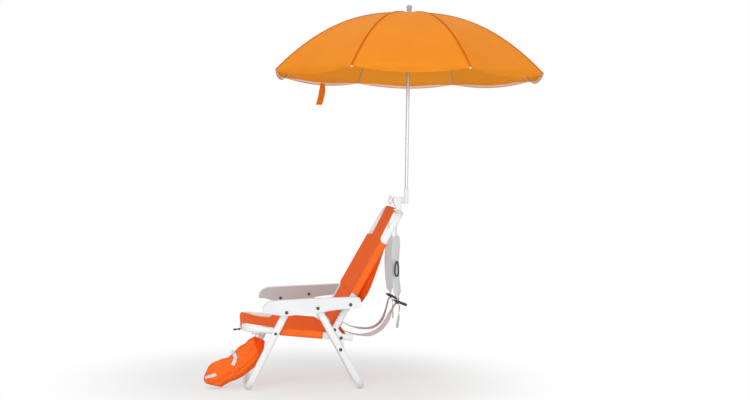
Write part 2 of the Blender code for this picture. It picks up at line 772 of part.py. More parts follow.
def back_half(along):
    """Half width of the back cloth along the back tubes."""
    start, end = BACK_WRAP
    if start <= along <= end:
        return HALF_WIDTH
    if along > end:
        return NECK_HALF + (HALF_WIDTH - NECK_HALF) * eased(1 - (along - end) / NOTCH_FLARE)
    return BACK_LOWER_HALF + (HALF_WIDTH - BACK_LOWER_HALF) * eased(1 - (start - along) / NOTCH_FLARE)


def back_sling():
    """Back cloth: hemmed over the top bar, round both tubes and under the lower bar."""
    start, end = BACK_WRAP
    bar = (BACK_BAR_ALONG, BACK_BAR_NORMAL)
    rows = []
    hem = round_points((BACK_LENGTH, -TUBE_REACH), WRAP_R, (-95, -60, -30, 0))
    hem += round_points((BACK_LENGTH, TUBE_REACH), WRAP_R, (0, 30, 60))
    for along, normal in hem:
        rows.append((along, normal, NECK_HALF, 0.0, False))
    flats = [BACK_LENGTH] + [end + (BACK_LENGTH - end) * share for share in BACK_NECK_SHARES]
    flats += [end + NOTCH_FLARE, end + NOTCH_FLARE / 2]
    flats += [end + (start - end) * step / BACK_STEPS for step in range(BACK_STEPS + 1)]
    flats += [start - NOTCH_FLARE / 2, start - NOTCH_FLARE]
    for along in flats:
        sag = sag_along(along, start * BACK_SAG_START_SHARE, BACK_LENGTH, BACK_SAG)
        drop = max(0.0, start - along) * BACK_LOWER_SLOPE
        rows.append((along, CREST - drop, back_half(along), sag, start <= along <= end))
    bar_wrap = BACK_BAR_R + CLOTH_GAP + CLOTH / 2
    lower = [(start * share, CREST * normal_share) for share, normal_share in BACK_LOWER_SHARES]
    lower += round_points(bar, bar_wrap, (90, 120, 150, 180, 210, 240, 270))
    lower += [(start * share, CREST * normal_share) for share, normal_share in BACK_BEHIND_SHARES]
    for along, normal in lower:
        rows.append((along, normal, BACK_LOWER_HALF, 0.0, False))
    return sling("back_sling", rows, back_point, RED_ORANGE_CLOTH)


POUCH_BOTTOM = 0.104
POUCH_LENGTH = 0.240
POUCH_DEPTH = 0.043
POUCH_SHARES = ((1.0, 0.0), (1.0, 0.30), (0.70, 0.64), (0.343, 0.97), (0.20, 1.0), (0.029, 0.90),
                (0.0, 0.69), (0.029, 0.0))


def back_pouch():
    """Storage pocket behind the back cloth, thin at its top and deep at its bottom."""
    near = CREST - BACK_SAG - CLOTH / 2 - LAYER_GAP
    outline = [back_point(POUCH_BOTTOM + POUCH_LENGTH * up, near - POUCH_DEPTH * deep)
               for up, deep in POUCH_SHARES]
    pouch = extruded("back_pouch", outline, -POUCH_HALF, POUCH_HALF, RED_ORANGE_CLOTH)
    rounded_edges(pouch, POUCH_ROUND, EDGE_ANGLE)
    return pouch


# Carry straps on the back

STRAP_INSET = 0.0910
STRAP_PLACE = HALF_WIDTH - STRAP_INSET
PAD_WIDE = 0.048
PAD_THICK = 0.009
WEB_WIDE = 0.025
WEB_THICK = 0.0014


FLAT_SECTION_SHARES = ((-1, -1), (1, -1), (1, 1), (-1, 1))
PAD_EDGE_SHARE = 0.35
PAD_SECTION_SHARES = ((-1, -PAD_EDGE_SHARE), (-0.7, -1), (0.7, -1), (1, -PAD_EDGE_SHARE),
                      (1, PAD_EDGE_SHARE), (0.7, 1), (-0.7, 1), (-1, PAD_EDGE_SHARE))


def band(name, centres, wides, deeps, section, spec):
    """Closed strip that carries a section along its centres, given two half-size vectors each."""
    bm = bmesh.new()
    rings = []
    for centre, wide, deep in zip(centres, wides, deeps):
        rings.append([bm.verts.new(centre + a * wide + b * deep) for a, b in section])
    for first, second in zip(rings, rings[1:]):
        strip_faces(bm, first + first[:1], second + second[:1])
    bm.faces.new(rings[0])
    bm.faces.new(rings[-1])
    return add_object(name, mesh_from(bm, name), spec)


def twist_at(share, stops):
    """Turn in radians at a share of a strap's length, from share and degree pairs."""
    for (start, first), (end, second) in zip(stops, stops[1:]):
        if share <= end:
            return radians(first + (second - first) * eased((share - start) / (end - start)))
    return radians(stops[-1][1])


def ribbon(name, path, widths, thick, section, spec, stops):
    """Strap along world points whose width lies along Y where it isn't twisted."""
    centres = [Vector(point) for point in path]
    wides, deeps = [], []
    for index, width in enumerate(widths):
        before = centres[max(index - 1, 0)]
        after = centres[min(index + 1, len(centres) - 1)]
        level = Vector((0, 1, 0))
        upright = (after - before).cross(level).normalized()
        twist = twist_at(index / (len(centres) - 1), stops)
        wides.append((level * cos(twist) + upright * sin(twist)) * (width / 2))
        deeps.append((upright * cos(twist) - level * sin(twist)) * (thick / 2))
    return band(name, centres, wides, deeps, section, spec)


def smooth_path(points, per_span=3):
    """Catmull-Rom points through a hand-chosen route."""
    result = []
    count = len(points)
    for index in range(count - 1):
        p0 = Vector(points[max(index - 1, 0)])
        p1 = Vector(points[index])
        p2 = Vector(points[index + 1])
        p3 = Vector(points[min(index + 2, count - 1)])
        for step in range(per_span):
            t = step / per_span
            a = 2 * p1
            b = p2 - p0
            c = 2 * p0 - 5 * p1 + 4 * p2 - p3
            d = -p0 + 3 * p1 - 3 * p2 + p3
            result.append((a + b * t + c * t ** 2 + d * t ** 3) / 2)
    result.append(Vector(points[-1]))
    return result


PAD_BEHIND_BAR = 0.009528
PAD_BELOW_BAR = 0.011089
PAD_ABOVE_WEB = 0.0147
PAD_ROUTE_SHARES = ((0.0, 0.0), (-0.0245, 0.0618), (-0.0383, 0.1711), (-0.0307, 0.3693),
                    (-0.0383, 0.5689), (-0.0274, 0.7674), (-0.0083, 0.9164), (0.0020, 1.0))
WEB_END = (0.5215, 0.2858)
WEB_LENGTH = 0.1955
PAD_TOP = (TOP_BAR[0] + PAD_BEHIND_BAR, TOP_BAR[1] - PAD_BELOW_BAR)
PAD_LENGTH = PAD_TOP[1] - WEB_END[1] - PAD_ABOVE_WEB
WEB_START_INSET = 0.025
WEB_START_SIDE = HALF_WIDTH - WEB_START_INSET
WEB_ROUTE_SHARES = {
    "left": ((-1.0, 1.0, -0.434), (-0.887, 0.970, -0.475), (-0.724, 0.848, -0.516),
             (-0.499, 0.606, -0.516), (-0.315, 0.424, -0.429), (-0.192, 0.273, -0.285),
             (-0.115, 0.152, -0.132), (-0.0435, 0.045, -0.0140), (0.0, 0.0, 0.0055),
             (0.0435, 0.0, -0.0297), (0.038, 0.0, -0.183), (0.008, 0.0, -0.439)),
    "right": ((-1.0, 1.0, -0.434), (-0.877, 0.970, -0.500), (-0.662, 0.848, -0.592),
              (-0.407, 0.606, -0.613), (-0.233, 0.424, -0.551), (-0.120, 0.273, -0.413),
              (-0.064, 0.152, -0.234), (-0.028, 0.045, -0.060), (0.0, 0.0, 0.0),
              (0.0486, 0.0, -0.0297), (0.0588, 0.0, -0.173), (0.069, 0.0, -0.388)),
}
BUCKLE_SIZE = (0.0460, 0.0340, 0.0100)
BUCKLE_AT = (0.5330, 0.2900)
BUCKLE_TILT = radians(20)


RING_SIZE = (0.0190, 0.0040, 0.0560)
RING_AT_SHARES = (-0.0330, 0.630)
PAD_TWIST_STOPS = ((0.0, 0), (0.15, 26), (0.86, 26), (1.0, 0))
WEB_TWIST_STOPS = ((0.0, 0), (0.16, 0), (0.30, 34), (0.52, 34), (0.66, 0), (0.80, 0), (0.92, 32),
                   (1.0, 32))


def straps():
    """Shoulder straps: a pad down from the top bar, a buckle, and webbing to the lower bar."""
    for name, side in both_sides():
        middle = side * STRAP_PLACE
        route = [(PAD_TOP[0] + PAD_LENGTH * x, middle, PAD_TOP[1] - PAD_LENGTH * z)
                 for x, z in PAD_ROUTE_SHARES]
        path = smooth_path(route)
        widths = [WEB_WIDE] * 2 + [PAD_WIDE] * (len(path) - 3) + [WEB_WIDE]
        ribbon(f"strap_pad_{name}", path, widths, PAD_THICK, PAD_SECTION_SHARES, GREY_WEBBING,
               PAD_TWIST_STOPS)
        spread = WEB_START_SIDE - STRAP_PLACE
        web = smooth_path([(WEB_END[0] + WEB_LENGTH * x, side * (STRAP_PLACE + spread * y),
                            WEB_END[1] + WEB_LENGTH * z) for x, y, z in WEB_ROUTE_SHARES[name]])
        ribbon(f"strap_webbing_{name}", web, [WEB_WIDE] * len(web), WEB_THICK,
               FLAT_SECTION_SHARES, GREY_WEBBING, WEB_TWIST_STOPS)
        black_block(f"strap_buckle_{name}", BUCKLE_SIZE, (BUCKLE_AT[0], middle, BUCKLE_AT[1]),
                    BUCKLE_TILT)
    along, down = RING_AT_SHARES
    twist = twist_at(down, PAD_TWIST_STOPS)
    edge = PAD_WIDE / 2 * cos(twist) + PAD_THICK / 2 * PAD_EDGE_SHARE * sin(twist)
    beside = STRAP_PLACE + edge + LAYER_GAP + RING_SIZE[1] / 2
    black_block("strap_adjuster", RING_SIZE,
                (PAD_TOP[0] + PAD_LENGTH * along, -beside, PAD_TOP[1] - PAD_LENGTH * down), 0)


def black_block(name, size, at, tilt):
    """Small moulded buckle with rounded edges, tilted about Y."""
    obj = add_object(name, mesh_from(block_mesh(size), name), BLACK_PLASTIC)
    obj.location = at
    obj.rotation_euler = (0, tilt, 0)
    rounded_edges(obj, min(size) / 4)
    return obj


# Bag that hangs from the left seat rail

BAG_NOSE = -0.1600
BAG_FLOOR_GAP = 0.0005
BAG_LENGTH = 0.2160
BAG_HEIGHT = 0.1855
BAG_SHARES = (
    (0.787, 0.984), (0.870, 1.0), (1.0, 0.892), (0.935, 0.666), (0.852, 0.472), (0.704, 0.299),
    (0.546, 0.202), (0.481, 0.116), (0.324, 0.051), (0.162, 0.0), (0.046, 0.051), (0.0, 0.137),
    (0.056, 0.278), (0.144, 0.504), (0.269, 0.569), (0.380, 0.612), (0.556, 0.795),
)
BAG_INSET = 0.046
BAG_MIDDLE = BAG_INSET - HALF_WIDTH
BAG_HALF = 0.032
BAG_LAYER_SHARES = ((-1.0, 0.62), (-0.72, 0.88), (0.0, 1.0), (0.72, 0.88), (1.0, 0.62))


def bag_points(shares):
    return [(BAG_NOSE + BAG_LENGTH * x, BAG_FLOOR_GAP + BAG_HEIGHT * z) for x, z in shares]


def carry_bag():
    """Slack bag: its outline in the side view, drawn in toward both faces."""
    outline = bag_points(BAG_SHARES)
    centre_x = sum(point[0] for point in outline) / len(outline)
    centre_z = sum(point[1] for point in outline) / len(outline)
    bm = bmesh.new()
    rings = []
    for depth, share in BAG_LAYER_SHARES:
        rings.append([bm.verts.new((centre_x + (x - centre_x) * share, BAG_MIDDLE + depth * BAG_HALF,
                                    centre_z + (z - centre_z) * share)) for x, z in outline])
    for first, second in zip(rings, rings[1:]):
        strip_faces(bm, first + first[:1], second + second[:1])
    bm.faces.new(rings[0])
    bm.faces.new(rings[-1])
    return add_object("carry_bag", mesh_from(bm, "carry_bag"), RED_ORANGE_CLOTH)


BAG_CORD_R = 0.0016
FRONT_CORD_R = 0.0012


def round_cord(name, route, radius, spec, resolution=2):
    curve = bpy.data.curves.new(name, "CURVE")
    curve.dimensions = "3D"
    curve.bevel_depth = radius
    curve.bevel_resolution = resolution
    curve.use_fill_caps = True
    spline = curve.splines.new("POLY")
    spline.points.add(len(route) - 1)
    for target, point in zip(spline.points, route):
        target.co = (*point, 1)
    curve.materials.append(material(spec))
    obj = bpy.data.objects.new(name, curve)
    collection.objects.link(obj)
    return evaluated_copy(obj, name)


BAG_CORD_TOP = 0.0100
BAG_CORD_INSET = 0.0045
BAG_CORD_SIDE = HALF_WIDTH - BAG_CORD_INSET
WEB_TAB_WIDE = 0.0150
WEB_TAB_THICK = 0.0014
BAG_TAB_SHARES = ((0.468, 0.703), (0.495, 0.666), (0.528, 0.596), (0.509, 0.515), (0.481, 0.456))


def bag_cord():
    """Cord from the underside of the left rail down to the bag's drawn mouth."""
    rail_x, rail_z = rail_point((BAG_CORD_TOP - RAIL_FRONT[0]), -(TUBE_WIDE / 2 + LAYER_GAP))
    mouth = max(bag_points(BAG_SHARES), key=lambda point: point[1])
    low = mouth[1] + BAG_CORD_R
    start = Vector((rail_x, -BAG_CORD_SIDE, rail_z - BAG_CORD_R * 3 / 4))
    end = Vector((mouth[0], BAG_MIDDLE, low))
    middle = (start + end) / 2 - Vector((0, 0, BAG_CORD_R))
    round_cord("bag_cord", [start, middle, end], BAG_CORD_R, GREY_WEBBING)


def bag_tab():
    """Webbing tab that lies over the near face of the bag."""
    face = BAG_MIDDLE - BAG_HALF - LAYER_GAP - WEB_TAB_THICK / 2
    centres = [Vector((x, face, z)) for x, z in bag_points(BAG_TAB_SHARES)]
    wides = [Vector((WEB_TAB_WIDE / 2, 0, 0))] * len(centres)
    deeps = [Vector((0, WEB_TAB_THICK / 2, 0))] * len(centres)
    return band("bag_webbing", centres, wides, deeps, FLAT_SECTION_SHARES, GREY_WEBBING)


TIE_CORD_X = -0.0306
TIE_CORD_INSET = 0.0140
TIE_CORD_SIDE = SEAT_FRONT_HALF - TIE_CORD_INSET
TIE_CORD_TOP = 0.2250
TOGGLE_SIZE = (0.0260, 0.0080, 0.0070)
TOGGLE_HEIGHT = 0.2010
TOGGLE_SHIFT = 0.0112


def front_tie():
    """Short cord and toggle at the left end of the front hem, which keep the chair folded."""
    at = (TIE_CORD_X - TOGGLE_SHIFT, -TIE_CORD_SIDE, TOGGLE_HEIGHT)
    toggle = black_block("front_tie", TOGGLE_SIZE, at, 0)
    length = TIE_CORD_TOP - TOGGLE_HEIGHT
    matrix = Matrix.Translation((TIE_CORD_X, -TIE_CORD_SIDE, TOGGLE_HEIGHT + length / 2))
    boolean(toggle, cutter_from(rod_mesh(FRONT_CORD_R, length), "tie_cord", matrix), "UNION")


# Umbrella clamp

def clamp_at(along, normal):
    """World X and Z near the top bar, from its own centre."""
    return back_point(BACK_LENGTH + along, normal)


def clamp():
    inside = TUBE_WIDE / 2 + CLAMP_SLACK
    outside = inside + CLAMP_WALL
    roof = TUBE_THICK / 2 + CLAMP_SLACK
    shoulder = roof + CLAMP_WALL / 2
    head_left, head_right = CLAMP_HEAD
    head_low = SWIVEL_HEIGHT - SWIVEL_R - SWIVEL_THICK
    outline = [
        (head_left, CLAMP_HEAD_TOP), (head_left, head_low + SWIVEL_THICK * 2),
        clamp_at(shoulder, outside), clamp_at(roof - CLAMP_FRONT_DEPTH, outside),
        clamp_at(roof - CLAMP_FRONT_DEPTH, inside), clamp_at(roof, inside),
        clamp_at(roof, -inside), clamp_at(roof - CLAMP_DEPTH, -inside),
        clamp_at(roof - CLAMP_DEPTH, -outside), clamp_at(shoulder / 4, -outside),
        (head_right, head_low), (head_right, CLAMP_HEAD_TOP),
    ]
    low, high = POLE_AT[1] - CLAMP_HALF, POLE_AT[1] + CLAMP_HALF
    body = extruded("clamp_body", outline, low, high, WHITE_PLASTIC)
    bolt_hole(body)
    jaw_reach = inside - CLAMP_SLACK
    jaw_top = -TUBE_THICK / 2 - CLAMP_SLACK
    jaw_low = roof - CLAMP_DEPTH
    jaw = [clamp_at(jaw_top, -jaw_reach), clamp_at(jaw_top, jaw_reach),
           clamp_at(jaw_low, jaw_reach), clamp_at(jaw_low, -jaw_reach)]
    extruded("clamp_jaw", jaw, low, high, WHITE_PLASTIC)
    knob()
    socket()


def bolt_hole(body):
    length = CLAMP_HEAD[1] - CLAMP_HEAD[0] + CUT_OVERRUN
    middle = (CLAMP_HEAD[0] + CLAMP_HEAD[1]) / 2
    matrix = lathe_matrix((middle, POLE_AT[1], SWIVEL_HEIGHT), (1, 0, 0))
    rod = rod_mesh(STUD_R + STUD_CLEARANCE, length)
    boolean(body, cutter_from(rod, "bolt_hole", matrix), "DIFFERENCE")


def knob():
    """Round tightening knob in front of the clamp, on a bolt along X."""
    bolt = (CLAMP_HEAD[1] - CLAMP_HEAD[0]) / 2 - CLAMP_SLACK
    rim = KNOB_R * KNOB_RIM_SHARE
    profile = [(0, KNOB_THICK), (KNOB_R - rim, KNOB_THICK), (KNOB_R, KNOB_THICK - rim),
               (KNOB_R, KNOB_THICK / 2), (KNOB_R - rim, KNOB_THICK / 2 - rim),
               (KNOB_WAIST, KNOB_THICK / 2 - rim), (KNOB_WAIST, 0), (STUD_R, 0),
               (STUD_R, -bolt), (0, -bolt)]
    at = (CLAMP_HEAD[0] - LAYER_GAP, POLE_AT[1], SWIVEL_HEIGHT)
    turned("clamp_knob", profile, WHITE_PLASTIC, lathe_matrix(at, (-1, 0, 0)), SIDES_SMALL * 2)


def socket():
    """Cup that holds the foot of the pole, with its round swivel plate and pin."""
    x, y = POLE_AT
    bore = POLE_R + POLE_CLEARANCE
    profile = [(bore, SOCKET_TOP), (SOCKET_R, SOCKET_TOP), (SOCKET_R, SOCKET_BOTTOM),
               (0, SOCKET_BOTTOM)]
    profile = [(0, SOCKET_BOTTOM + SOCKET_FLOOR), (bore, SOCKET_BOTTOM + SOCKET_FLOOR)] + profile
    cup = turned("pole_socket", profile, WHITE_PLASTIC, Matrix.Translation((x, y, 0)))
    face = CLAMP_HEAD[1] + LAYER_GAP
    pin = (CLAMP_HEAD[1] - CLAMP_HEAD[0]) / 2 - CLAMP_SLACK
    web = x - bore - face - LAYER_GAP
    swivel = turned("swivel", [(0, web), (SWIVEL_R * SWIVEL_CONE_SHARE, web), (SWIVEL_R, SWIVEL_THICK / 2),
                               (SWIVEL_R, 0), (STUD_R, 0), (STUD_R, -pin), (0, -pin)],
                    WHITE_PLASTIC, lathe_matrix((face, y, SWIVEL_HEIGHT), (1, 0, 0)))
    boolean(cup, as_cutter(swivel), "UNION")


# Umbrella

def dome(radius):
    """Height of the canopy's middle surface over its seams."""
    return RIM_HEIGHT + CANOPY_RISE * (1 - (radius / RIM_RADIUS) ** DOME_POWER)


def dome_slope(radius):
    return -CANOPY_RISE * DOME_POWER / RIM_RADIUS * (radius / RIM_RADIUS) ** (DOME_POWER - 1)


def under_dome(radius, depth):
    """Point at a depth under the canopy's middle surface, square to it, in radius and height."""
    slope = dome_slope(radius)
    length = sqrt(1 + slope * slope)
    return radius + depth * slope / length, dome(radius) - depth / length


def rib_angle(index):
    return CANOPY_TURN + 2 * pi * (index + 0.5) / RIBS


def canopy_top():
    return dome(0)


def pole():
    bottom = SOCKET_BOTTOM + SOCKET_FLOOR + POLE_CLEARANCE
    top = canopy_top() - CANOPY_CLOTH / 2 - LAYER_GAP - CROWN_ROOF - POLE_CLEARANCE
    bore = POLE_R - POLE_WALL
    profile = [(bore, top), (POLE_R, top), (POLE_R, bottom), (bore, bottom), (bore, top)]
    turned("pole", profile, GREY_METAL, Matrix.Translation((*POLE_AT, 0)))


def crown():
    """Notched ring at the pole's top that the ribs hinge on, with a stud through the canopy."""
    bore = POLE_R + POLE_CLEARANCE
    top = canopy_top() - CANOPY_CLOTH / 2 - LAYER_GAP
    stud_top = canopy_top() + CANOPY_CLOTH / 2 + LAYER_GAP + FINIAL_HEIGHT / 3
    profile = [(0, stud_top), (CROWN_STUD_R, stud_top), (CROWN_STUD_R, top), (CROWN_R, top),
               (CROWN_R, top - CROWN_HEIGHT), (bore, top - CROWN_HEIGHT), (bore, top - CROWN_ROOF),
               (0, top - CROWN_ROOF)]
    turned("crown", profile, WHITE_PLASTIC, Matrix.Translation((*POLE_AT, 0)))


def finial():
    """Cap on top of the canopy, screwed on the crown's stud."""
    base = canopy_top() + CANOPY_CLOTH / 2 + LAYER_GAP
    top = base + FINIAL_HEIGHT
    bore = CROWN_STUD_R + LAYER_GAP
    roof = base + FINIAL_HEIGHT / 3 + LAYER_GAP * 2
    profile = [(0, top), (FINIAL_R * FINIAL_TOP_SHARE, top),
               (FINIAL_R * FINIAL_SHOULDER_SHARE, top - FINIAL_FLARE / 2),
               (FINIAL_R, top - FINIAL_FLARE), (FINIAL_R * FINIAL_WAIST_SHARE, base + FINIAL_FLARE),
               (FINIAL_R, base), (bore, base), (bore, roof), (0, roof)]
    turned("finial", profile, WHITE_PLASTIC, Matrix.Translation((*POLE_AT, 0)))


def runner():
    bore = POLE_R + POLE_CLEARANCE
    low = RUNNER_TOP - RUNNER_HEIGHT
    neck = RUNNER_TOP - RUNNER_RING
    profile = [(bore, RUNNER_TOP), (RUNNER_R, RUNNER_TOP), (RUNNER_R, neck),
               (RUNNER_SLEEVE_R, neck), (RUNNER_SLEEVE_R, low), (bore, low), (bore, RUNNER_TOP)]
    turned("runner", profile, WHITE_PLASTIC, Matrix.Translation((*POLE_AT, 0)))


def rib_hinge():
    """Radius and height of the hinge of each rib at the crown."""
    radius = CROWN_R + RIB_HINGE_GAP
    return radius, dome(radius) - RIB_DEPTH


def rib_points():
    """Rib centre line in radius and height, from its stub inside the hinge to its tip."""
    radius, height = rib_hinge()
    points = [(radius - RIB_STUB, height), (radius, height)]
    for step in range(1, RIB_STEPS + 1):
        reach = radius + (RIM_RADIUS + RIB_PAST_RIM - radius) * step / RIB_STEPS
        points.append(under_dome(reach, RIB_DEPTH))
    return points


def strut_ends():
    """Strut centre line in radius and height, from under its rib to the runner."""
    top_radius, top_height = under_dome(STRUT_ON_RIB, RIB_DEPTH + STRUT_BELOW_RIB)
    low_radius = RUNNER_R + STRUT_END_GAP
    low_height = RUNNER_TOP - RUNNER_RING / 2
    return (top_radius, top_height), (low_radius, low_height)


def ribs_and_struts():
    strut = strut_ends()
    for index in range(RIBS):
        angle = rib_angle(index)

        def place(point):
            radius, height = point
            return (POLE_AT[0] + radius * cos(angle), POLE_AT[1] + radius * sin(angle), height)

        round_cord(f"rib_{index + 1}", [place(p) for p in rib_points()], RIB_R, GREY_METAL, 1)
        round_cord(f"strut_{index + 1}", [place(p) for p in strut], STRUT_R, GREY_METAL, 1)


RING_SHARES = (0.0, 0.10, 0.24, 0.38, 0.52, 0.65, 0.77, 0.89, 1.0)
GORE_STEPS = 6


def flap_depth(across):
    """How far the hem hangs below the line between two rib tips."""
    return FLAP_LEAST + FLAP_DEPTH * 4 * across * (1 - across)


def canopy():
    """Eight flat-spanned gores between the ribs, with a flap that hangs between the tips."""
    bm = bmesh.new()
    grid = []
    for share, flap in [(share, 0) for share in RING_SHARES] + [(1.0, 0.5), (1.0, 1.0)]:
        radius = CANOPY_HOLE_R + (RIM_RADIUS - CANOPY_HOLE_R) * share
        line = []
        for index in range(RIBS):
            first, second = rib_angle(index), rib_angle(index + 1)
            for step in range(GORE_STEPS):
                across = step / GORE_STEPS
                one = Vector((radius * cos(first), radius * sin(first), dome(radius)))
                two = Vector((radius * cos(second), radius * sin(second), dome(radius)))
                spot = one.lerp(two, across) - Vector((0, 0, flap * flap_depth(across)))
                line.append(bm.verts.new((POLE_AT[0] + spot.x, POLE_AT[1] + spot.y, spot.z)))
        grid.append(line)
    count = RIBS * GORE_STEPS
    for inner, outer in zip(grid, grid[1:]):
        for k in range(count):
            nxt = (k + 1) % count
            bm.faces.new((inner[k], outer[k], outer[nxt], inner[nxt]))
    obj = add_object("canopy", mesh_from(bm, "canopy"), ORANGE_CLOTH)
    thick = obj.modifiers.new("cloth", "SOLIDIFY")
    thick.thickness = CANOPY_CLOTH
    thick.offset = 0
    return obj


TIE_GORE = 3
TIE_STEPS = 5


def canopy_tie():
    """Closing strap sewn inside the middle of one gore's flap."""
    first, second = rib_angle(TIE_GORE - 1), rib_angle(TIE_GORE)
    one = Vector((RIM_RADIUS * cos(first), RIM_RADIUS * sin(first), RIM_HEIGHT))
    two = Vector((RIM_RADIUS * cos(second), RIM_RADIUS * sin(second), RIM_HEIGHT))
    spot = one.lerp(two, 1 / 2) + Vector((*POLE_AT, 0))
    out = Vector((cos((first + second) / 2), sin((first + second) / 2), 0))
    across = Vector((-out.y, out.x, 0))
    inward = CANOPY_CLOTH / 2 + LAYER_GAP + CLOTH / 2
    start = spot - out * inward - Vector((0, 0, flap_depth(1 / 2) - TIE_OVERLAP))
    centres = []
    for step in range(TIE_STEPS + 1):
        fall = step / TIE_STEPS
        centres.append(start + across * (TIE_DRIFT * fall * fall) - Vector((0, 0, TIE_LENGTH * fall)))
    wides = [across * (TIE_WIDE / 2)] * len(centres)
    deeps = [out * (CLOTH / 2)] * len(centres)
    return band("canopy_tie", centres, wides, deeps, FLAT_SECTION_SHARES, ORANGE_CLOTH)


def build_all():
    clear_scene()
    make_collections()
    seat_frame()
    cross_bar("seat_rear_bar", SEAT_BAR_AT, SEAT_BAR_R)
    leg_frame("front_leg_frame", PIVOT_B, PIVOT_A)
    leg_frame("rear_leg_frame", PIVOT_F, PIVOT_E)
    back_frame()
    cross_bar("back_lower_bar", back_point(BACK_BAR_ALONG, BACK_BAR_NORMAL), BACK_BAR_R)
    front_rivets()
    arm_rivets()
    hinge_plates()
    arms()
    seat_sling()
    back_sling()
    back_pouch()
    straps()
    carry_bag()
    bag_cord()
    bag_tab()
    front_tie()
    clamp()
    pole()
    crown()
    finial()
    runner()
    ribs_and_struts()
    canopy()
    canopy_tie()


build_all()
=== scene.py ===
# %% [markdown]
# This lesson dresses a child's folding chair that carries its own umbrella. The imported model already
# fixes every size and every hinge, so each piece here is drawn where the frame says, in metres.
# +X runs to the back of the chair, +Y to the far side, and +Z is up.

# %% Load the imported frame
import json
from math import atan2, copysign, cos, hypot, pi, radians, sin, sqrt

import bmesh
import bpy
from mathutils import Matrix, Vector, noise


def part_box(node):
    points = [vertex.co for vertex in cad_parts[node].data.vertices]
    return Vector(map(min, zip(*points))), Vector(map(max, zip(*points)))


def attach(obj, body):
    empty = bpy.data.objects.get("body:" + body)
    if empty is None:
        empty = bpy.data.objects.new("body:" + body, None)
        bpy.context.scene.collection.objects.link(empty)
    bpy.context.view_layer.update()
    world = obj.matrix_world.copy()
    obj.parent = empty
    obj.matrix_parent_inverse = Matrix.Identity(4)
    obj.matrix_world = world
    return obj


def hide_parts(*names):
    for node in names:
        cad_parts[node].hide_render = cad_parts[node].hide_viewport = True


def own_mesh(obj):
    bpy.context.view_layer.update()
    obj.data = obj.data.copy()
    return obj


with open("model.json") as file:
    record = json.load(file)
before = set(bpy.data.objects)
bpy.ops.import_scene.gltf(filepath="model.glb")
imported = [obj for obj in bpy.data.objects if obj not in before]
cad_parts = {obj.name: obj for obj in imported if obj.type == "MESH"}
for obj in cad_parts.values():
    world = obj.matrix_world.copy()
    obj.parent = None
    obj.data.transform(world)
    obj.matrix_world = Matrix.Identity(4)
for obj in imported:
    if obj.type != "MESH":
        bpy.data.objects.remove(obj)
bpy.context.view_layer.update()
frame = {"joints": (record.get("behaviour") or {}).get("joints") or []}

# %% [markdown]
# A product picture is taken from far away with a long lens, so the chair hardly narrows with
# distance. The camera stands four metres off at the height of the top of the back. Its turn, tilt and
# roll were worked out from places that both the picture and the model show, such as rivets and rib tips.

# %% Camera
CAMERA_AT = Vector((-0.1052, -4.1742, 0.8119))
CAMERA_YAW, CAMERA_PITCH, CAMERA_ROLL = radians(7.566), radians(2.203), radians(0.898)


def camera_turn(yaw, pitch, roll):
    """Rotation whose -Z looks along the yaw and pitch, rolled about that line."""
    ahead = Vector((sin(yaw) * cos(pitch), cos(yaw) * cos(pitch), -sin(pitch)))
    level = Vector((cos(yaw), -sin(yaw), 0))
    above = level.cross(ahead)
    across = level * cos(roll) + above * sin(roll)
    upward = above * cos(roll) - level * sin(roll)
    return Matrix((across, upward, -ahead)).transposed().to_4x4()


lens = bpy.data.cameras.new("studio_camera")
lens.sensor_width = 36.0
lens.lens = 56.12
camera = bpy.data.objects.new("studio_camera", lens)
camera.matrix_world = Matrix.Translation(CAMERA_AT) @ camera_turn(CAMERA_YAW, CAMERA_PITCH, CAMERA_ROLL)
bpy.context.scene.collection.objects.link(camera)
bpy.context.scene.camera = camera
print("camera", [round(value, 3) for value in camera.location])

# %% [markdown]
# A finish is a small tree of nodes that ends in one Principled shader. This helper adds a node, sets
# its options and either links or fills its sockets, so that each material below reads as a short list.
# Patterns read the object's own coordinates in metres, or the flat map of a cloth, also in metres.

# %% Helpers for materials
def add(tree, kind, sockets=None, **options):
    node = tree.nodes.new(kind)
    for key, value in options.items():
        setattr(node, key, value)
    for key, value in (sockets or {}).items():
        if isinstance(value, bpy.types.NodeSocket):
            tree.links.new(value, node.inputs[key])
        else:
            node.inputs[key].default_value = value
    return node


def new_finish(name, roughness, metallic=0.0, **sockets):
    """A material with its Principled shader; whole-surface values go on the shader's own sockets."""
    made = bpy.data.materials.new(name)
    made.use_nodes = True
    tree = made.node_tree
    shader = tree.nodes["Principled BSDF"]
    shader.inputs["Roughness"].default_value = roughness
    shader.inputs["Metallic"].default_value = metallic
    for key, value in sockets.items():
        shader.inputs[key.replace("_", " ")].default_value = value
    return made, tree, shader


def spots(tree, where, scale, detail=2.0):
    return add(tree, "ShaderNodeTexNoise",
               {"Vector": where, "Scale": scale, "Detail": detail}).outputs["Fac"]


def between(tree, share, low, high):
    """Spreads a 0 to 1 value over a range."""
    return add(tree, "ShaderNodeMapRange",
               {"Value": share, "To Min": low, "To Max": high}).outputs["Result"]


def ramp(tree, share, stops):
    """Colours along a 0 to 1 value, as position and colour pairs."""
    node = add(tree, "ShaderNodeValToRGB", {"Fac": share})
    bar = node.color_ramp
    while len(bar.elements) < len(stops):
        bar.elements.new(0.5)
    for mark, (position, colour) in zip(bar.elements, stops):
        mark.position = position
        mark.color = (*colour, 1.0)
    return node.outputs["Color"]


def calculate(tree, operation, one, two):
    return add(tree, "ShaderNodeMath", {0: one, 1: two}, operation=operation).outputs["Value"]


def raised(tree, shader, height, depth):
    """Small relief, in metres, from a 0 to 1 height."""
    bump = add(tree, "ShaderNodeBump", {"Height": height, "Distance": depth, "Strength": 1.0})
    tree.links.new(bump.outputs["Normal"], shader.inputs["Normal"])


def shade(colour, share):
    return tuple(value * share for value in colour)


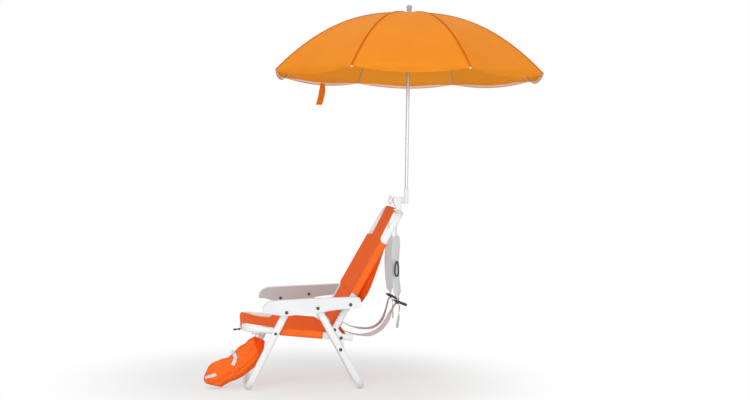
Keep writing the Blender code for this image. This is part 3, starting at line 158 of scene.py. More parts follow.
# %% [markdown]
# The tubes are steel with a white powder coat. Powder melts into a skin with a faint orange-peel, a
# little duller where hands and sand have rubbed it, and greyer near the floor. The arms, clamp and
# umbrella fittings are moulded plastic, which is smoother and takes a broader, softer light.

# %% Hard finishes
def coated_steel():
    made, tree, shader = new_finish("white_coated_steel", 0.34, Coat_Weight=0.12, Coat_Roughness=0.25)
    where = add(tree, "ShaderNodeTexCoord").outputs["Object"]
    height = add(tree, "ShaderNodeSeparateXYZ", {"Vector": where}).outputs["Z"]
    near_floor = add(tree, "ShaderNodeMapRange", {"Value": height, "From Min": 0.0, "From Max": 0.07,
                                                  "To Min": 0.34, "To Max": 0.0}).outputs["Result"]
    rubbed = calculate(tree, "ADD", near_floor, between(tree, spots(tree, where, 30.0, 5.0), -0.24, 0.26))
    colour = ramp(tree, rubbed, [(0.0, (0.80, 0.81, 0.82)), (0.25, (0.77, 0.78, 0.785)),
                                 (0.6, (0.60, 0.60, 0.59))])
    tree.links.new(colour, shader.inputs["Base Color"])
    tree.links.new(between(tree, spots(tree, where, 12.0, 4.0), 0.26, 0.46), shader.inputs["Roughness"])
    raised(tree, shader, spots(tree, where, 520.0, 1.0), 0.00009)
    return made


def moulded(name, colour, roughness, grain):
    made, tree, shader = new_finish(name, roughness)
    where = add(tree, "ShaderNodeTexCoord").outputs["Object"]
    tint = ramp(tree, spots(tree, where, 9.0, 4.0), [(0.3, shade(colour, 0.955)), (0.72, colour)])
    tree.links.new(tint, shader.inputs["Base Color"])
    tree.links.new(between(tree, spots(tree, where, 40.0, 3.0), roughness - 0.07, roughness + 0.09),
                   shader.inputs["Roughness"])
    pits = add(tree, "ShaderNodeTexVoronoi", {"Vector": where, "Scale": 850.0}).outputs["Distance"]
    raised(tree, shader, pits, grain)
    return made


def bare_metal(name, colour, roughness, scratch):
    made, tree, shader = new_finish(name, roughness, 1.0)
    where = add(tree, "ShaderNodeTexCoord").outputs["Object"]
    drawn = add(tree, "ShaderNodeMapping", {"Vector": where, "Scale": (1.0, 1.0, 0.04)}).outputs["Vector"]
    lines = spots(tree, drawn, scratch, 3.0)
    tree.links.new(ramp(tree, lines, [(0.25, shade(colour, 0.82)), (0.8, colour)]),
                   shader.inputs["Base Color"])
    tree.links.new(between(tree, lines, roughness - 0.08, roughness + 0.12), shader.inputs["Roughness"])
    raised(tree, shader, lines, 0.00003)
    return made


white_steel = coated_steel()
white_plastic = moulded("white_moulding", (0.79, 0.80, 0.81), 0.42, 0.00006)
grey_plastic = moulded("grey_moulding", (0.36, 0.42, 0.50), 0.38, 0.00004)
# The arms' inner faces are the same white plastic; this cool grey is painted shade for the shadow inside the
# arm.
arm_painted_shade = moulded("arm_inner_painted_shade", (0.50, 0.57, 0.59), 0.5, 0.00006)
black_plastic = moulded("black_moulding", (0.012, 0.012, 0.014), 0.40, 0.00008)
dark_rivet = bare_metal("dark_rivet", (0.10, 0.10, 0.11), 0.34, 300.0)
pole_metal = bare_metal("drawn_pole", (0.52, 0.53, 0.55), 0.27, 420.0)
wire_steel = bare_metal("rib_wire", (0.55, 0.55, 0.56), 0.33, 500.0)
print("hard finishes", len(bpy.data.materials))

# %% [markdown]
# Cloth is a grid of threads. Each sheet below carries a flat map named weave, measured in metres, so
# two wave patterns at right angles give threads of the real width wherever the cloth bends. Large soft
# spots add the faint rubbing and fade that dyed cloth always has.

# %% Cloth finishes
def thread_pattern(tree, flat, pitch, diagonal=False):
    """Height of a plain weave, or of a twill where diagonal, with this distance between threads."""
    scale = 2 * pi / 20 / pitch
    if diagonal:
        lines = add(tree, "ShaderNodeTexWave", {"Vector": flat, "Scale": scale * 0.7},
                    wave_type="BANDS", bands_direction="DIAGONAL").outputs["Fac"]
        edges = add(tree, "ShaderNodeTexWave", {"Vector": flat, "Scale": scale * 0.5},
                    wave_type="BANDS", bands_direction="X").outputs["Fac"]
        return calculate(tree, "MULTIPLY", lines, between(tree, edges, 0.55, 1.0))
    warp = add(tree, "ShaderNodeTexWave", {"Vector": flat, "Scale": scale},
               wave_type="BANDS", bands_direction="X").outputs["Fac"]
    weft = add(tree, "ShaderNodeTexWave", {"Vector": flat, "Scale": scale},
               wave_type="BANDS", bands_direction="Y").outputs["Fac"]
    return add(tree, "ShaderNodeMath", {0: warp, 1: weft, 2: 0.0}, operation="SMOOTH_MAX").outputs["Value"]


def cloth(name, colour, roughness, pitch, relief, sheen=0.12, diagonal=False, contrast=0.14, through=0.0,
          gloss=0.28):
    """Woven finish; through is how much light soaks through a thin cloth."""
    made, tree, shader = new_finish(name, roughness, Sheen_Weight=sheen, Sheen_Roughness=0.45)
    shader.inputs["Specular IOR Level"].default_value = gloss
    if through:
        shader.inputs["Subsurface Weight"].default_value = through
        shader.inputs["Subsurface Radius"].default_value = (0.004, 0.002, 0.001)
        shader.inputs["Subsurface Scale"].default_value = 1.0
    flat = add(tree, "ShaderNodeUVMap", uv_map="weave").outputs["UV"]
    where = add(tree, "ShaderNodeTexCoord").outputs["Object"]
    threads = thread_pattern(tree, flat, pitch, diagonal)
    faded = calculate(tree, "ADD", between(tree, spots(tree, where, 7.0, 4.0), -0.35, 0.35),
                      between(tree, threads, 0.5 - contrast, 0.5 + contrast))
    tree.links.new(ramp(tree, faded, [(0.0, shade(colour, 0.80)), (0.5, colour),
                                      (1.0, tuple(min(0.95, value * 1.10 + 0.004) for value in colour))]),
                   shader.inputs["Base Color"])
    tree.links.new(between(tree, spots(tree, where, 60.0, 3.0), roughness - 0.08, roughness + 0.08),
                   shader.inputs["Roughness"])
    raised(tree, shader, threads, relief)
    return made


SEAT_ORANGE = (0.97, 0.150, 0.018)
CANOPY_ORANGE = (0.80, 0.235, 0.010)
seat_cloth = cloth("red_orange_weave", SEAT_ORANGE, 0.78, 0.0011, 0.00016, sheen=0.0, gloss=0.12)
# Deep red: the pouch's own cloth, and painted shade on the inside of the carry bag's mouth.
pouch_red_and_mouth_shade = cloth("deep_red_pouch_and_mouth_shade", (0.98, 0.084, 0.004), 0.80, 0.0011, 0.00016, sheen=0.0, gloss=0.12)
seat_thread = cloth("red_orange_thread", shade(SEAT_ORANGE, 0.72), 0.60, 0.0006, 0.00005)
canopy_cloth = cloth("orange_canopy_weave", CANOPY_ORANGE, 0.72, 0.0008, 0.00006, sheen=0.0, contrast=0.08,
                     through=0.35, gloss=0.14)
# The canopy's underside is the same cloth; its lighter, yellower orange is painted light for the sun that
# soaks through from above.
canopy_underside_painted_light = cloth("orange_canopy_inside", (0.99, 0.34, 0.030), 0.80, 0.0008, 0.00006, sheen=0.0,
                      contrast=0.08, through=0.35, gloss=0.08)
canopy_seam = cloth("canopy_seam", (0.66, 0.120, 0.003), 0.80, 0.0008, 0.00008, sheen=0.0, gloss=0.10)
white_tape = cloth("white_tape", (0.90, 0.91, 0.92), 0.75, 0.0012, 0.00010, sheen=0.0, diagonal=True)
strap_thread = cloth("pale_thread", (0.50, 0.51, 0.53), 0.70, 0.0005, 0.00004)
strap_web = cloth("pale_grey_webbing", (0.66, 0.68, 0.69), 0.70, 0.0016, 0.00030, sheen=0.04, diagonal=True)
pad_cloth = cloth("pale_grey_pad", (0.68, 0.70, 0.71), 0.76, 0.0010, 0.00012, sheen=0.04)
print("all finishes", len(bpy.data.materials))

# %% [markdown]
# Product pictures use a white paper sweep and large soft lamps. Here the world is an even pale light
# and two big panels give the tubes a bright side and a grey side. What the camera sees behind the
# chair is plain white; the floor takes the chair's soft shadow and fades into that white.

# %% Light and floor
def panel(name, place, target, size, power):
    lamp = bpy.data.lights.new(name, "AREA")
    lamp.shape = "SQUARE"
    lamp.size = size
    lamp.energy = power
    piece = bpy.data.objects.new(name, lamp)
    aim = (Vector(target) - Vector(place)).to_track_quat("-Z", "Y").to_matrix().to_4x4()
    piece.matrix_world = Matrix.Translation(place) @ aim
    bpy.context.scene.collection.objects.link(piece)
    return piece


def seen_directly(tree):
    """1 for rays from the camera, and for those that a mirror or glass sends on."""
    path = add(tree, "ShaderNodeLightPath").outputs
    shiny = calculate(tree, "MAXIMUM", path["Is Glossy Ray"], path["Is Transmission Ray"])
    return calculate(tree, "MAXIMUM", path["Is Camera Ray"], shiny)


AIR_LIGHT = 0.46
studio = bpy.data.worlds.new("studio")
studio.use_nodes = True
bpy.context.scene.world = studio
air = studio.node_tree
soft_air = air.nodes["Background"]
soft_air.inputs["Color"].default_value = (1.0, 1.0, 1.0, 1.0)
soft_air.inputs["Strength"].default_value = AIR_LIGHT
white_air = add(air, "ShaderNodeBackground", {"Color": (1.0, 1.0, 1.0, 1.0), "Strength": 1.0})
chosen_air = add(air, "ShaderNodeMixShader", {"Fac": seen_directly(air)})
air.links.new(soft_air.outputs["Background"], chosen_air.inputs[1])
air.links.new(white_air.outputs["Background"], chosen_air.inputs[2])
air.links.new(chosen_air.outputs["Shader"], air.nodes["World Output"].inputs["Surface"])

panel("key_panel", (-1.9, -2.6, 3.0), (0.2, 0.0, 0.5), 2.4, 48.0)
panel("fill_panel", (2.6, -2.0, 1.6), (0.3, 0.0, 0.4), 2.4, 22.0)
panel("front_panel", (-0.4, -3.4, 0.6), (0.3, 0.0, 0.6), 2.8, 54.0)
panel("top_panel", (0.3, 0.6, 3.6), (0.3, 0.0, 0.4), 2.6, 20.0)

FLOOR_TONE, SHADOW_LIFT = 0.80, 0.52
paper, paper_tree, paper_shader = new_finish("white_paper_floor", 0.9)
paper_place = add(paper_tree, "ShaderNodeTexCoord").outputs["Object"]
paper_grain = spots(paper_tree, paper_place, 900.0)
paper_tones = [(0.2, (FLOOR_TONE - 0.046, FLOOR_TONE, FLOOR_TONE + 0.006)),
               (0.8, (FLOOR_TONE - 0.040, FLOOR_TONE + 0.006, FLOOR_TONE + 0.012))]
paper_tree.links.new(ramp(paper_tree, paper_grain, paper_tones), paper_shader.inputs["Base Color"])
paper_shader.inputs["Specular IOR Level"].default_value = 0.1
squeezed = add(paper_tree, "ShaderNodeMapping", {"Vector": paper_place, "Location": (-0.15, 0.0, 0.0),
                                                 "Scale": (0.75, 0.85, 1.0)}).outputs["Vector"]
away = add(paper_tree, "ShaderNodeVectorMath", {0: squeezed}, operation="LENGTH").outputs["Value"]
faded_out = add(paper_tree, "ShaderNodeMapRange", {"Value": away, "From Min": 0.28, "From Max": 0.75},
                interpolation_type="SMOOTHSTEP").outputs["Result"]
bright = add(paper_tree, "ShaderNodeEmission", {"Color": (1.0, 1.0, 1.0, 1.0), "Strength": 1.0})
lifted = between(paper_tree, faded_out, SHADOW_LIFT, 1.0)
share = calculate(paper_tree, "MULTIPLY", lifted, seen_directly(paper_tree))
blended = add(paper_tree, "ShaderNodeMixShader", {"Fac": share})
paper_tree.links.new(paper_shader.outputs["BSDF"], blended.inputs[1])
paper_tree.links.new(bright.outputs["Emission"], blended.inputs[2])
paper_tree.links.new(blended.outputs["Shader"], paper_tree.nodes["Material Output"].inputs["Surface"])

bm = bmesh.new()
bmesh.ops.create_circle(bm, cap_ends=True, segments=64, radius=9.0,
                        matrix=Matrix.Translation((0, 0, -0.0005)))
floor_mesh = bpy.data.meshes.new("paper_floor")
bm.to_mesh(floor_mesh)
bm.free()
floor_mesh.materials.append(paper)
floor = bpy.data.objects.new("paper_floor", floor_mesh)
bpy.context.scene.collection.objects.link(floor)
bpy.context.scene.view_settings.view_transform = "Standard"
print("air light", AIR_LIGHT, "panels", len(bpy.data.lights))

# %% [markdown]
# Every piece ends the same way: its mesh becomes an object, gets a finish, rides on the body that
# carries it, and hides the CAD nodes that it stands for. One helper keeps that in one place.

# %% Helper that finishes a piece
def finish_piece(name, bm, material, body, nodes=(), fix_normals=True, smooth=True, angle=35):
    if fix_normals:
        bmesh.ops.recalc_face_normals(bm, faces=bm.faces)
    mesh = bpy.data.meshes.new(name)
    bm.to_mesh(mesh)
    bm.free()
    mesh.materials.append(material)
    if smooth:
        mesh.shade_smooth()
        mesh.set_sharp_from_angle(angle=radians(angle))
    piece = bpy.data.objects.new(name, mesh)
    bpy.context.scene.collection.objects.link(piece)
    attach(piece, body)
    if nodes:
        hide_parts(*nodes)
    return piece


def new_verts(result, key="geom"):
    return [item for item in result[key] if isinstance(item, bmesh.types.BMVert)]


def ring_of(result, key="geom"):
    """Edges among the new corners only: the open ring at the end of an extrusion or a spin."""
    corners = set(new_verts(result, key))
    return [item for item in result[key]
            if isinstance(item, bmesh.types.BMEdge) and corners.issuperset(item.verts)]


def soften(bm, edges, offset, segments=2):
    return bmesh.ops.bevel(bm, geom=edges, offset=offset, offset_type="OFFSET", segments=segments,
                           profile=0.5, affect="EDGES", clamp_overlap=True, material=-1)


def facing(x, y, z, side=1):
    """Place whose local +Z points along +Y, or along -Y where side is -1."""
    return Matrix.Translation((x, y, z)) @ Matrix.Rotation(-side * pi / 2, 4, "X")


# %% [markdown]
# The seat, back and legs are each one flat-oval tube bent into a U. In a workshop the tube is pushed
# through a die and then bent round a former twice. The mesh is made the same way: a circle is pulled
# into an oval, pushed along a straight, spun round a corner, pushed across, spun again and pushed back.

# %% Sizes of the frame
HALF_WIDTH, TUBE_WIDE, TUBE_THICK, LEG_WIDE = 0.181, 0.022, 0.014, 0.025
LEG_HALF = 0.1981
OVAL_SIDES = 24
at = {joint["name"]: joint["pos_m"] for joint in frame["joints"] if joint.get("pos_m")}
hinge = {letter: (at[name][0], at[name][2]) for letter, name in (
    ("A", "front_leg_fold"), ("C", "arm_fold"), ("D", "chair_fold"), ("E", "rear_leg_fold"),
    ("G", "plate_fold"))}


def middle_of(node):
    low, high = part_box(node)
    return (low[0] + high[0]) / 2, (low[2] + high[2]) / 2


hinge["B"] = middle_of("arm_front_rivet_left")
hinge["F"] = middle_of("arm_middle_rivet_left")
RAIL_FRONT, RAIL_REAR = (-0.0190, 0.2140), (0.3556, 0.1800)
RAIL_ANGLE = atan2(RAIL_REAR[1] - RAIL_FRONT[1], RAIL_REAR[0] - RAIL_FRONT[0])
RAIL_LENGTH = hypot(RAIL_REAR[0] - RAIL_FRONT[0], RAIL_REAR[1] - RAIL_FRONT[1])
BACK_ANGLE, BACK_LENGTH = radians(61.0), 0.464
print("hinges", {letter: (round(x, 4), round(z, 4)) for letter, (x, z) in sorted(hinge.items())})


def side_frame(origin, angle):
    """Local X across the chair, local Y along a tube in the side view, local Z square to both."""
    along = Vector((cos(angle), 0, sin(angle)))
    across = Vector((0, 1, 0))
    turn = Matrix((across, along, across.cross(along))).transposed().to_4x4()
    return Matrix.Translation((origin[0], 0, origin[1])) @ turn


def on_line(origin, angle, along, normal):
    """World X and Z of a place along a tube and square to it."""
    return (origin[0] + along * cos(angle) - normal * sin(angle),
            origin[1] + along * sin(angle) + normal * cos(angle))


# %% Bend the four frames
def push(bm, ring, move):
    made = bmesh.ops.extrude_edge_only(bm, edges=ring)
    bmesh.ops.translate(bm, verts=new_verts(made), vec=move)
    return ring_of(made)


def bend(bm, ring, centre, angle):
    made = bmesh.ops.spin(bm, geom=ring, cent=centre, axis=(0, 0, 1), angle=angle, steps=14)
    return ring_of(made, "geom_last")


def bent_frame(bm, half, open_end, closed_end, corner, wide):
    """U-shaped flat-oval tube in its own plane, with a plug let into each end."""
    way = copysign(1, closed_end - open_end)
    turn = closed_end - way * corner
    stand = Matrix.Translation((-half, open_end, 0)) @ Matrix.Rotation(pi / 2, 4, "X")
    stand = stand @ Matrix.Rotation(pi / OVAL_SIDES, 4, "Z")
    first = bmesh.ops.create_circle(bm, cap_ends=True, segments=OVAL_SIDES, radius=TUBE_THICK / 2,
                                    matrix=stand)
    for corner_point in first["verts"]:
        corner_point.co.z += copysign(wide / 2 - TUBE_THICK / 2, corner_point.co.z)
    plugs = [first["verts"][0].link_faces[0]]
    ring = push(bm, list(plugs[0].edges), (0, turn - open_end, 0))
    ring = bend(bm, ring, (corner - half, turn, 0), -way * pi / 2)
    ring = push(bm, ring, (2 * (half - corner), 0, 0))
    ring = bend(bm, ring, (half - corner, turn, 0), -way * pi / 2)
    ring = push(bm, ring, (0, open_end - turn, 0))
    plugs += [item for item in bmesh.ops.contextual_create(bm, geom=ring)["faces"]]
    rims = [edge for plug in plugs for edge in plug.edges]
    bmesh.ops.inset_individual(bm, faces=plugs, thickness=0.0016, depth=-0.0006)
    soften(bm, rims, 0.0008)
    return bm


def frame_piece(name, shape, matrix, body, floor_cut=False):
    bm = bent_frame(bmesh.new(), *shape)
    bmesh.ops.transform(bm, matrix=matrix, verts=bm.verts)
    if floor_cut:
        everything = list(bm.verts) + list(bm.edges) + list(bm.faces)
        cut = bmesh.ops.bisect_plane(bm, geom=everything, plane_co=(0, 0, 0), plane_no=(0, 0, -1),
                                     clear_outer=True)
        bmesh.ops.contextual_create(bm, geom=[e for e in cut["geom_cut"]
                                              if isinstance(e, bmesh.types.BMEdge)])
    return finish_piece(name + "_tube", bm, white_steel, body, [name])


def leg(name, top, through, body):
    """Leg that runs from its hinge under the arm, through its hinge on the chair, to the floor."""
    angle = atan2(hinge[top][1] - hinge[through][1], hinge[top][0] - hinge[through][0])
    bar = TUBE_THICK / 2 + (LEG_WIDE - TUBE_THICK) / 2 * abs(cos(angle)) - 0.001
    down = (hinge[top][1] - bar) / sin(angle)
    foot = (hinge[top][0] - down * cos(angle), bar)
    return frame_piece(name, (LEG_HALF, down + 0.014, 0, 0.036, LEG_WIDE), side_frame(foot, angle), body,
                       True)


frame_piece("seat_frame", (HALF_WIDTH, RAIL_LENGTH, 0, 0.042, TUBE_WIDE),
            side_frame(RAIL_FRONT, RAIL_ANGLE), "seat")
frame_piece("back_frame", (HALF_WIDTH, -0.0065, BACK_LENGTH, 0.042, TUBE_WIDE),
            side_frame(hinge["D"], BACK_ANGLE), "back")
leg("front_leg_frame", "B", "A", "front_legs")
leg("rear_leg_frame", "F", "E", "rear_legs")
print("frames bent: seat, back and two legs")

# %% [markdown]
# Two round bars join the tubes: one behind the seat and one at the foot of the back. Flat steel plates
# carry the hinges between seat, back and rear legs. A plate is the tight outline round three discs,
# which is what a convex hull gives, so nothing about its shape has to be worked out by hand.

# %% Cross bars, hinge plates and rivets
PLATE_INNER, PLATE_THICK, PLATE_ROUND = 0.1883, 0.0025, 0.012
ARM_INNER, ARM_OUTER = 0.2054, 0.2174
TUBE_INNER = HALF_WIDTH - TUBE_THICK / 2


def cross_bar(name, x, z, radius, body):
    bm = bmesh.new()
    bmesh.ops.create_cone(bm, cap_ends=True, segments=32, radius1=radius, radius2=radius,
                          depth=2 * TUBE_INNER - 0.0006, matrix=facing(x, 0, z))
    soften(bm, [edge for edge in bm.edges if any(len(face.verts) > 4 for face in edge.link_faces)], 0.0006)
    return finish_piece(name + "_rod", bm, white_steel, body, [name])


cross_bar("seat_rear_bar", 0.3330, 0.1765, 0.0060, "seat")
bar_x, bar_z = on_line(hinge["D"], BACK_ANGLE, 0.016, -0.002)
cross_bar("back_lower_bar", bar_x, bar_z, 0.0080, "back")


def stud(bm, pivot, side, low, high, head_low=True, head_high=True, head=0.0062):
    """Rivet along Y between two planes, with a domed head spun on each closed end."""
    outline = [(0.0, low - (0.0020 if head_low else 0))]
    if head_low:
        outline += [(head * 0.55, low - 0.0018), (head * 0.88, low - 0.0010), (head, low)]
    outline += [(0.0030, low), (0.0030, high)]
    if head_high:
        outline += [(head, high), (head * 0.88, high + 0.0010), (head * 0.55, high + 0.0018)]
    outline += [(0.0, high + (0.0020 if head_high else 0))]
    turn_profile(bm, outline, facing(pivot[0], 0, pivot[1], side), 24)


def turn_profile(bm, outline, matrix, steps=48):
    """Radius and height pairs spun once round local Z, closed at its poles and put in place."""
    points = [bm.verts.new((radius, 0, height)) for radius, height in outline]
    lines = [bm.edges.new(pair) for pair in zip(points, points[1:])]
    before = set(bm.verts) - set(points)
    bmesh.ops.spin(bm, geom=points + lines, cent=(0, 0, 0), axis=(0, 0, 1), angle=2 * pi, steps=steps,
                   use_merge=True)
    made = [corner for corner in bm.verts if corner not in before]
    bmesh.ops.remove_doubles(bm, verts=made, dist=0.00002)
    bmesh.ops.transform(bm, matrix=matrix, verts=[corner for corner in bm.verts if corner not in before])


def hinge_plate(name, side):
    bm = bmesh.new()
    middle = side * (PLATE_INNER + PLATE_THICK / 2)
    for letter in "DGE":
        bmesh.ops.create_cone(bm, cap_ends=True, segments=40, radius1=PLATE_ROUND, radius2=PLATE_ROUND,
                              depth=PLATE_THICK, matrix=facing(hinge[letter][0], middle, hinge[letter][1]))
    hull = bmesh.ops.convex_hull(bm, input=list(bm.verts))
    inside = {item for key in ("geom_interior", "geom_unused") for item in hull[key]}
    bmesh.ops.delete(bm, geom=[item for item in inside if isinstance(item, bmesh.types.BMVert)],
                     context="VERTS")
    bmesh.ops.dissolve_limit(bm, angle_limit=radians(1), verts=bm.verts, edges=bm.edges)
    rim = [edge for edge in bm.edges if edge.is_manifold and edge.calc_face_angle() > radians(60)]
    soften(bm, rim, 0.0006)
    return finish_piece(name + "_steel", bm, white_steel, "hinge_plates", [name])


for name, side in (("left", -1), ("right", 1)):
    hinge_plate("hinge_plate_" + name, side)
    bm = bmesh.new()
    stud(bm, hinge["D"], side, TUBE_INNER - 0.0003, PLATE_INNER + PLATE_THICK)
    stud(bm, hinge["G"], side, TUBE_INNER - 0.0003, PLATE_INNER + PLATE_THICK)
    stud(bm, hinge["E"], side, PLATE_INNER, 0.2054)
    finish_piece("plate_rivets_" + name, bm, dark_rivet, "hinge_plates")
    bm = bmesh.new()
    stud(bm, hinge["A"], side, TUBE_INNER - 0.0003, 0.2041, True, True)
    bmesh.ops.create_cone(bm, cap_ends=True, segments=24, radius1=0.006, radius2=0.006, depth=0.0022,
                          matrix=facing(hinge["A"][0], side * 0.18955, hinge["A"][1]))
    finish_piece("leg_rivet_" + name, bm, dark_rivet, "seat", ["front_rivet_" + name])
    for letter, label in (("B", "front"), ("F", "middle")):
        bm = bmesh.new()
        stud(bm, hinge[letter], side, ARM_INNER - 0.012, ARM_OUTER + 0.0003, False, True)
        finish_piece(f"arm_{label}_screw_{name}", bm, dark_rivet, "arms", [f"arm_{label}_rivet_{name}"])
    bm = bmesh.new()
    stud(bm, hinge["C"], side, TUBE_INNER - 0.0003, ARM_OUTER + 0.0003)
    finish_piece("arm_rear_screw_" + name, bm, dark_rivet, "arms", ["arm_rear_rivet_" + name])
print("hinge plates and rivets on both sides")

# %% [markdown]
# Each arm is one plastic moulding: a wall beside the legs, a lip over them and a boss that reaches in
# to the back tube. The wall starts as a drawn outline. Bevelling the corners of that flat face first
# gives the flowing silhouette; only then is it pushed out to its thickness and its edges rounded.

# %% Arms
ARM_START, ARM_LOW, ARM_LONG, ARM_HIGH = 0.0430, 0.2600, 0.3365, 0.0650
ARM_OUTLINE = [(0.0, 0.169), (0.009, 0.485), (0.039, 0.662), (0.086, 0.785), (0.199, 0.831), (0.467, 0.900),
               (0.802, 0.977), (0.960, 1.0), (0.984, 0.946), (0.997, 0.754), (1.0, 0.492), (0.984, 0.423),
               (0.883, 0.400), (0.713, 0.308), (0.553, 0.169), (0.446, 0.123), (0.229, 0.0), (0.125, 0.062),
               (0.062, 0.154)]


def arm_edge(x):
    """Height of the arm's top edge at a place along the chair."""
    top = [(ARM_START + a * ARM_LONG, ARM_LOW + b * ARM_HIGH) for a, b in ARM_OUTLINE[2:8]]
    for (x0, z0), (x1, z1) in zip(top, top[1:]):
        if x <= x1:
            return z0 + (z1 - z0) * (x - x0) / (x1 - x0)
    return top[-1][1]


def slab(bm, outline, low, high):
    """Flat outline in the side view, pushed from one Y plane to another."""
    corners = [bm.verts.new((x, low, z)) for x, z in outline]
    face = bmesh.ops.contextual_create(bm, geom=corners)["faces"][0]
    made = bmesh.ops.extrude_face_region(bm, geom=[face], use_keep_orig=True)
    bmesh.ops.translate(bm, verts=new_verts(made), vec=(0, high - low, 0))


def arm(name, side):
    bm = bmesh.new()
    corners = [bm.verts.new((ARM_START + a * ARM_LONG, side * ARM_INNER, ARM_LOW + b * ARM_HIGH))
               for a, b in ARM_OUTLINE]
    bmesh.ops.contextual_create(bm, geom=corners)
    bmesh.ops.bevel(bm, geom=list(bm.verts), offset=0.0045, offset_type="OFFSET", segments=3, profile=0.5,
                    affect="VERTICES", clamp_overlap=True, material=-1)
    made = bmesh.ops.extrude_face_region(bm, geom=list(bm.faces), use_keep_orig=True)
    bmesh.ops.translate(bm, verts=new_verts(made), vec=(0, side * (ARM_OUTER - ARM_INNER), 0))
    bmesh.ops.recalc_face_normals(bm, faces=bm.faces)
    inner = [face for face in bm.faces if len(face.verts) > 4
             and abs(face.calc_center_median().y) < ARM_INNER + 0.001]
    rim = [edge for edge in bm.edges if edge.is_manifold and edge.calc_face_angle() > radians(70)]
    bmesh.ops.inset_region(bm, faces=inner, thickness=0.0035, depth=0.0)
    bmesh.ops.inset_region(bm, faces=inner, thickness=0.0008, depth=-0.0012)
    soften(bm, rim, 0.0024, 4)
    xs = [0.062 + 0.256 * step / 16 for step in range(17)]
    low, high = sorted((side * 0.1911, side * (ARM_INNER + 0.004)))
    lip = bmesh.new()
    slab(lip, [(x, arm_edge(x) - 0.0018) for x in xs] + [(x, arm_edge(x) - 0.0068) for x in reversed(xs)],
         low, high)
    bmesh.ops.recalc_face_normals(lip, faces=lip.faces)
    soften(lip, [e for e in lip.edges if e.is_manifold and e.calc_face_angle() > radians(60)], 0.0012, 3)
    lip_mesh = bpy.data.meshes.new("lip")
    lip.to_mesh(lip_mesh)
    lip.free()
    bm.from_mesh(lip_mesh)
    boss_middle = side * (ARM_INNER + HALF_WIDTH + TUBE_THICK / 2 + 0.0010) / 2
    bmesh.ops.create_cone(bm, cap_ends=True, segments=40, radius1=0.0105, radius2=0.0090,
                          depth=ARM_INNER - HALF_WIDTH - TUBE_THICK / 2 + 0.0014,
                          matrix=facing(hinge["C"][0], boss_middle, hinge["C"][1], -side))
    return finish_piece("arm_moulding_" + name, bm, white_plastic, "arms", ["arm_" + name])


for name, side in (("left", -1), ("right", 1)):
    arm(name, side)
print("arms moulded")

# %% [markdown]
# Seat and back are slings: one cloth each, hemmed round the bars and sewn into a sleeve round each
# tube. A grid is laid by formula. Its rows follow the tubes and its columns run across the cloth and
# on round the tube, and where there is no sleeve the outer columns are cut away, as a pattern is cut.
# The grid's flat map keeps the cloth's real size in metres, so every cloth has the same weave.

# %% Lay a cloth on the tubes
CLOTH, CLOTH_GAP = 0.0018, 0.0006
CREST = TUBE_WIDE / 2 + CLOTH_GAP + CLOTH / 2
SLEEVE_R = TUBE_THICK / 2 + CLOTH_GAP + CLOTH / 2
OVAL_REACH = (TUBE_WIDE - TUBE_THICK) / 2
SLEEVE_LENGTH = SLEEVE_R * pi * 1.5 + OVAL_REACH * 3.4
COLUMNS, SLEEVE_COLUMNS = 84, 18


def round_sleeve(distance):
    """Offset out and up from the tube's middle at a distance round the sleeve from its crest."""
    quarter = SLEEVE_R * pi / 2
    flat = 2 * OVAL_REACH
    if distance < quarter:
        angle = pi / 2 - distance / SLEEVE_R
        return SLEEVE_R * cos(angle), OVAL_REACH + SLEEVE_R * sin(angle)
    if distance < quarter + flat:
        return SLEEVE_R, OVAL_REACH - (distance - quarter)
    angle = -(distance - quarter - flat) / SLEEVE_R
    if angle > -pi:
        return SLEEVE_R * cos(angle), -OVAL_REACH + SLEEVE_R * sin(angle)
    return -SLEEVE_R, -OVAL_REACH + (distance - quarter - flat - pi * SLEEVE_R)


def eased(value):
    value = max(0.0, min(1.0, value))
    return value * value * (3 - 2 * value)


def spline(points, per_span):
    """Smooth run through given points of any number of values."""
    spots_in = [Vector(point) for point in points]
    made = []
    for index in range(len(spots_in) - 1):
        p0, p1 = spots_in[max(index - 1, 0)], spots_in[index]
        p2, p3 = spots_in[index + 1], spots_in[min(index + 2, len(spots_in) - 1)]
        for step in range(per_span):
            t = step / per_span
            made.append((2 * p1 + (p2 - p0) * t + (2 * p0 - 5 * p1 + 4 * p2 - p3) * t ** 2
                         + (-p0 + 3 * p1 - 3 * p2 + p3) * t ** 3) / 2)
    return made + [spots_in[-1]]


def round_bar(centre, radius, first, last, sweep=9):
    """Places round a bar in the along and normal plane, from one angle in degrees to another."""
    count = max(2, round(abs(last - first) / sweep))
    turns = [radians(first + (last - first) * step / count) for step in range(count + 1)]
    return [(centre[0] + radius * cos(turn), centre[1] + radius * sin(turn)) for turn in turns]


def weave_map(bm, flats):
    """Flat place of each corner in metres, which the threads of a cloth follow."""
    layer = bm.loops.layers.uv.get("weave") or bm.loops.layers.uv.new("weave")
    for face in bm.faces:
        for loop in face.loops:
            if loop.vert in flats:
                loop[layer].uv = flats[loop.vert]


def puckers(across, along, wraps, seed):
    """Small gathers beside the sleeves and slow waves in the open cloth."""
    edge = max(0.0, HALF_WIDTH - abs(across))
    wave = noise.noise(Vector((across * 7, along * 30, seed)))
    gather = sin(along * 2 * pi / 0.019 + 4 * wave) * 0.0007 * (0.25 + 0.75 * wraps)
    gather *= pow(2.718, -edge / 0.020)
    return 0.0011 * wave * min(1.0, edge / 0.04) + gather * min(1.0, edge / 0.006)


